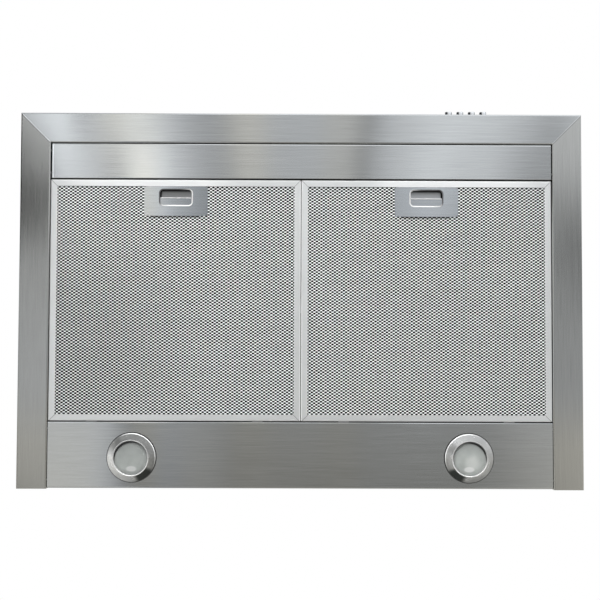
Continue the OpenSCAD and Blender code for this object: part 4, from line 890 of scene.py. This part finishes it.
class HOOD_OT_stage(bpy.types.Operator):
    """Lay the pale floor, hang the soft lights and stand the camera under the hood"""

    bl_idname = "hood.stage"
    bl_label = "Studio"

    def execute(self, context):
        settings = context.scene.hood_stage
        self.sky(settings.sky)
        self.floor(settings.floor)
        self.room(settings.floor)
        self.camera(settings)
        self.lamps(settings.floor)
        return {"FINISHED"}

    @staticmethod
    def sky(strength):
        """White where it is seen, and an even grey light elsewhere."""
        world = bpy.data.worlds.new("studio")
        world.use_nodes = True
        sky = Shader(world.node_tree, world.node_tree.nodes["Background"])
        seen = 0.0
        for kind in ("Is Camera Ray", "Is Glossy Ray", "Is Transmission Ray"):
            seen = sky.maths("MAXIMUM", seen, sky.node("ShaderNodeLightPath", {}, {}, kind))
        sky.feed({"Color": WHITE, "Strength": strength + (1 - strength) * seen})
        bpy.context.scene.world = world

    @staticmethod
    def sheets(name, corners, faces, finish):
        """A flat-faced stage object that isn't part of the hood."""
        mesh = bpy.data.meshes.new(name)
        mesh.from_pydata(corners, [], faces)
        mesh.materials.append(finish)
        made = bpy.data.objects.new(name, mesh)
        bpy.context.collection.objects.link(made)
        return made

    @staticmethod
    def floor(height):
        """A wide pale floor under the hood."""
        pale = Finish("pale_floor", (0.7, 0.7, 0.69), 0.6)
        cloud = pale.noise(pale.place, scale=3.0)
        pale.feed({"Base Color": pale.mix(cloud, (0.68, 0.68, 0.67), (0.72, 0.72, 0.71))})
        half = 9.0
        corners = [(-half, -half, height), (half, -half, height), (half, half, height), (-half, half, height)]
        HOOD_OT_stage.sheets("floor", corners, [(0, 1, 2, 3)], pale.material)

    @staticmethod
    def room(floor):
        """The studio that the steel mirrors, seen only in gloss: a floor card, four walls and a ceiling.

        The card has bright bands in front, where the front flange mirrors it, and is plainer towards the
        wall, where the lamp panel does. Each band rises and falls smoothly: height, start and stop in x."""
        west, east, south, north, top = -3.0, 3.0, -3.0, 1.6, 1.5
        glow = Finish("mirrored_room", grey(0), 1.0)
        x, y, z = glow.axes()

        def band(value, start, stop, soft):
            return (glow.smooth(value, start - soft, start + soft)
                    - glow.smooth(value, stop - soft, stop + soft))

        def bands(rows, soft=0.03):
            return sum(height * band(fan, start, stop, soft) for height, start, stop in rows)

        fan = x * (0.89 + 0.22 * glow.smooth(y, -0.98, -0.68))
        front = glow.fall(y, -0.5, -0.15)
        forward = glow.fall(y, -0.8, -0.5)
        nearest = glow.fall(y, -0.76, -0.64)
        bright = bands(((-0.1, -0.66, -0.58), (0.34, -0.44, -0.37), (0.12, -0.37, -0.31),
                        (0.24, -0.2, -0.11), (0.16, -0.11, 0.185), (0.22, 0.235, 0.3), (0.36, 0.3, 0.37),
                        (0.46, 0.37, 0.675), (0.14, 0.4, 0.5), (0.2, 0.675, 0.73)))
        bright = bright + bands([(0.85, -0.57, -0.44)], 0.025) + bands([(-0.18, 0.185, 0.235)], 0.02)
        bright = bright + (0.05 + 1.2 * nearest) * band(fan, -0.797, -0.645, 0.02)
        left_end = glow.fall(fan, -0.85, -0.81) * glow.fall(y, -0.6, -0.4)
        right_end = (0.39 * forward * glow.smooth(x, 0.78, 0.88)
                     - (1 - forward) * (0.2 * glow.smooth(x, 0.3, 0.5) + 0.05 * glow.smooth(x, 0.7, 0.8)))
        plain = (0.35 + 0.44 * band(x, -0.88, -0.56, 0.05) + 0.17 * glow.smooth(x, 0.55, 0.75)
                 + 0.07 * band(x, -0.47, -0.24, 0.05) + 0.1 * glow.fall(x, -0.9, -0.8)
                 - 0.12 * band(y, 0.2, 1.0, 0.1)
                 + 0.3 * glow.smooth(x, 0.75, 0.9) * glow.smooth(y, -0.1, 0.3))
        afar = glow.fall(y, -1.6, -1.35)
        level = front * (0.5 + bright + right_end - 0.49 * left_end) + (1 - front) * plain
        level = (1 - afar) * level + afar * (0.6 + 0.9 * glow.smooth(x, -0.75, -0.2))

        ahead = glow.fall(y, -0.9, -0.7)
        high_up = glow.smooth(z, -0.5, 0.7)
        west_wall = glow.fall(x, west + 0.01, west + 0.02)
        east_wall = glow.smooth(x, east - 0.02, east - 0.01)
        south_wall = glow.fall(y, south + 0.01, south + 0.02)
        north_wall = glow.smooth(y, north - 0.02, north - 0.01)
        overhead = glow.smooth(z, top - 0.02, top - 0.01)
        west_level = 0.9 - 0.88 * ahead - 0.35 * (1 - ahead) * high_up
        east_level = 0.55 + ahead * (0.45 - 0.85 * glow.smooth(z, 0.35, 0.5)) + 0.2 * (1 - ahead) * high_up
        walls = (west_wall * west_level + east_wall * east_level + south_wall * (1.2 - 0.5 * high_up)
                 + north_wall * (0.8 - 0.38 * band(x, -1.7, 1.7, 0.1)))
        ceiling = 0.4 + 0.5 * band(x, -1.9, 1.4, 0.9) * band(y, -2.4, 0.4, 0.7)
        ceiling = ceiling * (1 - glow.fall(x, -1.3, -0.8) * band(y, -1.7, -0.75, 0.1))
        walls = (1 - overhead) * walls + overhead * ceiling

        on_floor = glow.fall(z, floor + 0.012, floor + 0.02)
        rear = glow.smooth(y, -0.05, 0.15)
        warm = bands(((1.0, -0.56, -0.48), (0.8, -0.22, -0.1), (0.5, 0.08, 0.2)))
        warm = (warm + 0.75 * rear * (1 - band(x, -0.62, -0.35, 0.04))
                + rear * (0.4 * band(x, -0.12, 0.12, 0.04) + 0.12 * glow.smooth(x, 0.5, 0.7)))
        tint = glow.mix(warm, (0.93, 0.968, 1.0), (1.0, 0.985, 0.9))
        most = 1.6
        light = on_floor * level + (1 - on_floor) * walls
        glow.feed({"Emission Color": glow.mix((1 / most) * light, grey(0), tint), "Emission Strength": most,
                   "Specular IOR Level": 0.0})
        low = floor + 0.01
        corners = [(x, y, z) for z in (low, top) for x, y in ((west, south), (east, south), (east, north),
                                                              (west, north))]
        faces = [(0, 1, 2, 3), (0, 1, 5, 4), (1, 2, 6, 5), (2, 3, 7, 6), (3, 0, 4, 7), (4, 5, 6, 7)]
        room = HOOD_OT_stage.sheets("mirrored_room", corners, faces, glow.material)
        room.visible_camera = room.visible_diffuse = room.visible_shadow = room.visible_transmission = False

    @staticmethod
    def camera(settings):
        """Looks from the eye to the aim, with the hood's front at the top of the picture."""
        eye, aim = Vector(settings.eye), Vector(settings.aim)
        back = (eye - aim).normalized()
        right = Vector((math.cos(settings.roll), -math.sin(settings.roll), 0))
        top = back.cross(right).normalized()
        right = top.cross(back)
        data = bpy.data.cameras.new("camera")
        data.lens, data.sensor_width = settings.lens, 36.0
        data.clip_end = 50.0
        camera = bpy.data.objects.new("camera", data)
        turn = Matrix((right, top, back)).transposed().to_4x4()
        camera.matrix_world = Matrix.Translation(eye) @ turn
        bpy.context.collection.objects.link(camera)
        bpy.context.scene.camera = camera

    @staticmethod
    def lamps(floor):
        """Soft lights for the matt surfaces: two under the hood and two above, each aimed at a point."""
        under, above = (0, -0.25, -0.17), (0, -0.25, 0.1)
        for name, place, aim, size, radiance in (
                ("below_front", (-0.5, -2.4, floor + 0.3), under, (2.6, 1.2), 14.5),
                ("below_left", (-1.5, -0.9, floor + 0.2), under, (0.7, 0.7), 3.0),
                ("key_above", (-1.6, -2.2, 1.9), above, (1.6, 1.6), 3.2),
                ("fill_above", (2.2, -1.4, 1.4), above, (1.4, 1.4), 1.6)):
            data = bpy.data.lights.new(name, "AREA")
            data.shape, data.size, data.size_y = "RECTANGLE", *size
            data.energy = radiance * math.pi * size[0] * size[1]
            lamp = bpy.data.objects.new(name, data)
            lamp.rotation_mode = "QUATERNION"
            lamp.rotation_quaternion = (Vector(aim) - Vector(place)).to_track_quat("-Z", "Y")
            lamp.location = place
            lamp.visible_camera = lamp.visible_glossy = False
            bpy.context.collection.objects.link(lamp)


class HOOD_PT_panel(bpy.types.Panel):
    """Lists the hood's pieces in the order in which they are made"""

    bl_idname = "HOOD_PT_panel"
    bl_label = "Range hood"
    bl_space_type = "VIEW_3D"
    bl_region_type = "UI"
    bl_category = "Range hood"

    def draw(self, context):
        for operator in OPERATORS:
            self.layout.operator(operator.bl_idname)
        for group in ("hood_steel", "hood_mesh", "hood_stage"):
            settings = getattr(context.scene, group)
            for key in settings.__annotations__:
                self.layout.prop(settings, key)


OPERATORS = (HOOD_OT_steel, HOOD_OT_works, HOOD_OT_filters, HOOD_OT_handles, HOOD_OT_lamps, HOOD_OT_buttons,
             HOOD_OT_stage)
GROUPS = {"hood_steel": HoodSteel, "hood_mesh": HoodMesh, "hood_stage": HoodStage}


def register():
    for group in GROUPS.values():
        bpy.utils.register_class(group)
    for key, group in GROUPS.items():
        setattr(bpy.types.Scene, key, PointerProperty(type=group))
    for item in (*OPERATORS, HOOD_PT_panel):
        bpy.utils.register_class(item)


def unregister():
    for item in reversed((*OPERATORS, HOOD_PT_panel)):
        bpy.utils.unregister_class(item)
    for key, group in GROUPS.items():
        delattr(bpy.types.Scene, key)
        bpy.utils.unregister_class(group)


def main():
    """Registers the add-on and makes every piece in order."""
    register()
    bpy.context.scene.view_settings.view_transform = "Standard"
    for operator in OPERATORS:
        family, name = operator.bl_idname.split(".")
        getattr(getattr(bpy.ops, family), name)()


if __name__ == "__main__":
    main()
